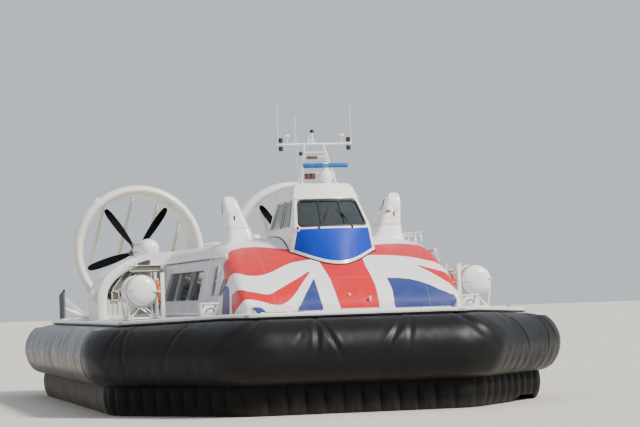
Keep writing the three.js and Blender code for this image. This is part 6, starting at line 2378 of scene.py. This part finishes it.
@dataclass
class SideDeck:
    """What stands on one side deck: liferaft canister, its cradle, locker, lifebuoy and stern screen."""

    side: Side
    x: float = 4.56
    y: float = -5.10
    z: float = 3.17
    radius: float = 0.415
    half: float = 0.79

    @property
    def end_rows(self) -> list[Flat]:
        """The domed end of the canister as radius and place along it, from its middle outwards."""
        h = self.half
        return [
            (0.0, -h), (0.12, -h + 0.006), (0.23, -h + 0.025), (0.31, -h + 0.06), (0.365, -h + 0.11),
            (0.398, -h + 0.175), (self.radius - 0.003, -h + 0.25),
        ]

    def build_canister(self) -> None:
        """Builds the barrel in two halves with its flange, straps, domed ends and a dark band near each end.
        """
        sign, word, r, h = self.side.value, self.side.word, self.radius, self.half
        turn = turn_about("Y", -sign * 6, (sign * self.x, self.y, self.z))
        bench = Bench()
        rows = self.end_rows
        profile = rows + [(r, 0.0)] + [(a, -b) for a, b in reversed(rows)]
        x, y, z = sign * self.x, self.y, self.z
        bench.spin(profile, (x, y, z), "Y", 56, turn=turn)
        for along in (-0.42, -0.14, 0.14, 0.42):
            bench.band(r - 0.01, r + 0.006, 0.03, (x, y + along, z), ease=0.004, turn=turn)
        wide, long = r + 0.045, h - 0.03
        flange = rounded_outline([(-wide, -long), (wide, -long), (wide, long), (-wide, long)], 0.20, 8)
        bench.prism([(a + x, b + y) for a, b in flange], "Z", z - 0.016, z + 0.016, 0.005, turn=turn)
        dark_line = [(a * 1.01 + x, b * 1.004 + y) for a, b in flange]
        bench.prism(dark_line, "Z", z - 0.004, z + 0.004, paint=1, turn=turn)
        for along in (-0.50, 0.50):
            bench.band(r + 0.002, r + 0.010, 0.02, (x, y + along, z), paint=1, turn=turn)
        bench.finish("canister_" + word, WHITE, GREY, replaces=("liferaft_canister_" + word,), angle=40.0)

    def build_cradle(self) -> None:
        """Builds the tube frame under the canister and the lifebuoy's rack beside it."""
        sign, word = self.side.value, self.side.word
        refined_copy("canister_cradle_" + word, "cradle_" + word, WHITE, 0.004, weighted=False)
        posts = Bench()
        foot = deck_height(3.98)
        posts.tube([(sign * 4.03, -4.55, foot), (sign * 4.03, -4.55, 3.66)], 0.035, 14)
        for z in (2.90, 3.38):
            posts.tube([(sign * 3.99, -4.55, z), (sign * 3.99, -5.78, z)], 0.016, 12)
        posts.side_block(self.side, (3.94, 4.12), (-4.64, -4.46), (foot, foot + 0.02), 0.005)
        posts.finish("lifebuoy_rack_" + word, WHITE)

    def build_lifebuoy(self) -> None:
        """Builds the orange lifebuoy on its rack, with its grab line's bands."""
        sign, word = self.side.value, self.side.word
        bench = Bench()
        centre = (sign * 4.055, -4.95, 3.14)
        x, y, z = centre
        ring = [(0.28 + 0.062 * math.cos(a), 0.045 * math.sin(a)) for a in full_turn(16)[:-1]]
        bench.spin(ring, centre, "X", 48, closed=True)
        for angle in (0, 90, 180, 270):
            turn = turn_about("X", angle, centre)
            low, high = (x - 0.049, y + 0.21, z - 0.025), (x + 0.049, y + 0.35, z + 0.025)
            bench.block(low, high, 0.012, paint=1, turn=turn)
        bench.finish("lifebuoy_" + word, BUOY, WHITE)

    def build_locker(self) -> None:
        """Builds the white deck locker with its lid, handle and folded bracket."""
        sign, word = self.side.value, self.side.word
        bench = Bench()
        bench.side_block(self.side, (3.14, 3.60), (-9.18, -8.82), (deck_height(3.4), 2.76), 0.015)
        bench.side_block(self.side, (3.12, 3.62), (-9.20, -8.80), (2.755, 2.80), 0.012)
        handle = (
            (3.28, -9.19, 2.58), (3.28, -9.25, 2.62), (3.37, -9.27, 2.66), (3.46, -9.25, 2.62),
            (3.46, -9.19, 2.58),
        )
        bench.tube(round_path([(sign * x, y, z) for x, y, z in handle], 5), 0.014, 10, paint=1)
        for x in (3.22, 3.52):
            bench.side_block(self.side, (x - 0.02, x + 0.02), (-9.215, -9.19), (2.70, 2.78), 0.004, 2)
        bench.finish("locker_" + word, WHITE, GASKET, STEEL)

    def build_screen(self) -> None:
        """Builds the ribbed screen near the stern with its slanted black rail."""
        sign, word = self.side.value, self.side.word
        node = "stern_screen_" + word
        bench = Bench()
        bench.copy_node(node, 0.004, paint=lambda place, _: 1 if place.z < 2.45 or abs(place.x) < 5.15 else 0)
        x = 5.23
        foot = deck_height(x)
        for y in span(6.78, 7.78, 12):
            top = foot + 0.91 - 0.16 * (y - 6.7) / 1.15
            across, along = (x - 0.04, x + 0.04), (y - 0.014, y + 0.014)
            bench.side_block(self.side, across, along, (foot + 0.07, top), 0.004)
        bench.tube([(sign * x, 6.68, foot + 0.94), (sign * x, 7.87, foot + 0.78)], 0.035, 12, paint=2)
        bench.finish("screen_" + word, GREY, WHITE, GASKET, replaces=(node,))

    def build_deck_fittings(self) -> None:
        """Builds the mooring cleats and the small white fittings along the bow's rim."""
        sign, word = self.side.value, self.side.word
        bench = Bench()
        for x, y in ((2.56, -10.74), (5.05, -7.0), (5.05, 0.5), (5.05, 6.2), (3.3, 10.55)):
            z = deck_height(x) + (0.025 if y < -10 else 0.0)
            bench.side_block(self.side, (x - 0.05, x + 0.05), (y - 0.10, y + 0.10), (z, z + 0.02), 0.006)
            x *= sign
            for step in (-0.05, 0.05):
                bench.tube([(x, y + step, z), (x, y + step, z + 0.08)], 0.014, 10)
            horns = [(x, y - 0.12, z + 0.08), (x, y, z + 0.09), (x, y + 0.12, z + 0.08)]
            bench.tube(horns, [0.010, 0.018, 0.010], 12)
        bench.finish("cleats_" + word, STEEL)
        clips = Bench()
        rise = (DECK_TOP, DECK_TOP + 0.05)
        for x in (0.85, 1.7, 2.35):
            clips.side_block(self.side, (x - 0.05, x + 0.05), (-10.86, -10.74), rise, 0.012)
        clips.tube([(sign * 0.4, -10.80, DECK_TOP + 0.02), (sign * 2.3, -10.80, DECK_TOP + 0.02)], 0.012, 8)
        if self.side is Side.STARBOARD:
            clips.block((-2.4, -10.745, DECK_TOP + 0.004), (-1.3, -10.69, DECK_TOP + 0.045), 0.01, paint=1)
        clips.finish("rim_clips_" + word, WHITE, GASKET)

    def build(self) -> None:
        """Builds the whole side deck."""
        self.build_canister()
        self.build_cradle()
        self.build_lifebuoy()
        self.build_locker()
        self.build_screen()
        self.build_deck_fittings()


NODE_FINISH: dict[str, Finish] = {
    "hull_raft": HULL_PAINT, "deck": DECK_PAINT, "skirt_": BOW_BAG_RUBBER_SHADED, "cabin_front": FLAG,
    "cabin_roof": ROOF_WHITE, "cabin_side": SIDE_GREY_AND_SHADE, "cabin_glass": GLASS, "cabin_bulkhead": SIDE_GREY_AND_SHADE,
    "cabin_seats": SEAT, "door_": SIDE_GREY_AND_SHADE, "cockpit_body": NOSE_BLUE, "cockpit_roof": WHITE,
    "windscreen": GLASS, "cockpit_seats": SEAT, "mast_frame": WHITE, "radar_scanner": RADAR_BLUE,
    "thruster_fairing": WHITE, "bow_thruster": WHITE, "fan_housing": WHITE, "fan_grille": GREY,
    "engine_bay": WHITE, "engine_block": GREY, "propeller_pylon": WHITE, "propeller_duct": CREAM_WHITE,
    "propeller_": BLADE, "rudder_": CREAM, "liferaft_canister": WHITE, "canister_cradle": WHITE,
    "stern_screen": GREY,
}


def dress_nodes(nodes: Iterable[str]) -> None:
    """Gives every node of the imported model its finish, by the longest name that it starts with."""
    for node in sorted(nodes):
        start = max((k for k in NODE_FINISH if node.startswith(k)), key=len)
        mesh = bpy.data.objects[node].data
        mesh.materials.clear()
        mesh.materials.append(NODE_FINISH[start].build())


@dataclass
class Studio:
    """A pale floor, a soft sky and the camera at the photograph's viewing angle."""

    eye: Point = (-13.70, -69.32, 2.85)
    yaw: float = math.radians(12.4)
    pitch: float = math.radians(1.96)
    roll: float = math.radians(-1.9)
    lens: float = 137.25
    floor_half: float = 400.0
    sky_colour: Colour = (0.80, 0.86, 0.93)
    sky_strength: float = 0.8
    sun_colour: Colour = (1.0, 0.97, 0.92)
    sun_energy: float = 5.5
    sun_size: float = math.radians(12)
    sun_turn: Point = (math.radians(46), 0.0, math.radians(48))

    def build(self) -> None:
        """Builds the camera, the lights and the floor."""
        self._camera()
        self._sky()
        self._floor()

    def _camera(self) -> None:
        """Places the camera by its eye point, yaw, pitch and roll."""
        camera = bpy.data.objects.new("camera", bpy.data.cameras.new("camera"))
        bpy.context.scene.collection.objects.link(camera)
        camera.data.lens = self.lens
        camera.data.clip_end = 2000.0
        level = math.cos(self.pitch)
        ahead = Vector((math.sin(self.yaw) * level, math.cos(self.yaw) * level, math.sin(self.pitch)))
        right = Vector((math.cos(self.yaw), -math.sin(self.yaw), 0.0))
        up = right.cross(ahead)
        tilted = right * math.cos(self.roll) + up * math.sin(self.roll)
        above = up * math.cos(self.roll) - right * math.sin(self.roll)
        turn = Matrix((tilted, above, -ahead)).transposed()
        camera.matrix_world = Matrix.Translation(self.eye) @ turn.to_4x4()
        bpy.context.scene.camera = camera

    def _sky(self) -> None:
        """A bright even sky and one broad sun-like lamp high on the port bow."""
        world = bpy.data.worlds.new("studio")
        world.use_nodes = True
        background = world.node_tree.nodes["Background"]
        background.inputs["Color"].default_value = (*self.sky_colour, 1.0)
        background.inputs["Strength"].default_value = self.sky_strength
        bpy.context.scene.world = world
        sun = bpy.data.lights.new("sun", "SUN")
        sun.energy = self.sun_energy
        sun.angle = self.sun_size
        sun.color = self.sun_colour
        lamp = bpy.data.objects.new("sun", sun)
        lamp.rotation_euler = self.sun_turn
        bpy.context.scene.collection.objects.link(lamp)

    def _floor(self) -> None:
        """A large flat pale floor."""
        bm = bmesh.new()
        bmesh.ops.create_grid(bm, x_segments=1, y_segments=1, size=self.floor_half)
        mesh = bpy.data.meshes.new("floor")
        bm.to_mesh(mesh)
        bm.free()
        floor = bpy.data.objects.new("floor", mesh)
        bpy.context.scene.collection.objects.link(floor)
        mesh.materials.append(
            Finish("floor_paint", (0.62, 0.58, 0.52), 0.8, patches=0.0, streaks=0.0, bump=0.0).build()
        )


def main() -> None:
    """Builds everything in order and reports each part."""
    logging.basicConfig(level=logging.INFO, format="%(message)s")
    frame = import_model()
    dress_nodes(frame["nodes"])
    log.info("packed nodes dressed: %d", len(frame["nodes"]))
    Studio().build()
    Skirt().build()
    Cabin().build()
    Cockpit().build()
    Mast().build()
    RoofRail().build()
    for side in Side:
        for part in (Thruster(side), FanHood(side), PropellerDrive(side), SideDeck(side)):
            part.build()


if __name__ == "__main__":
    main()
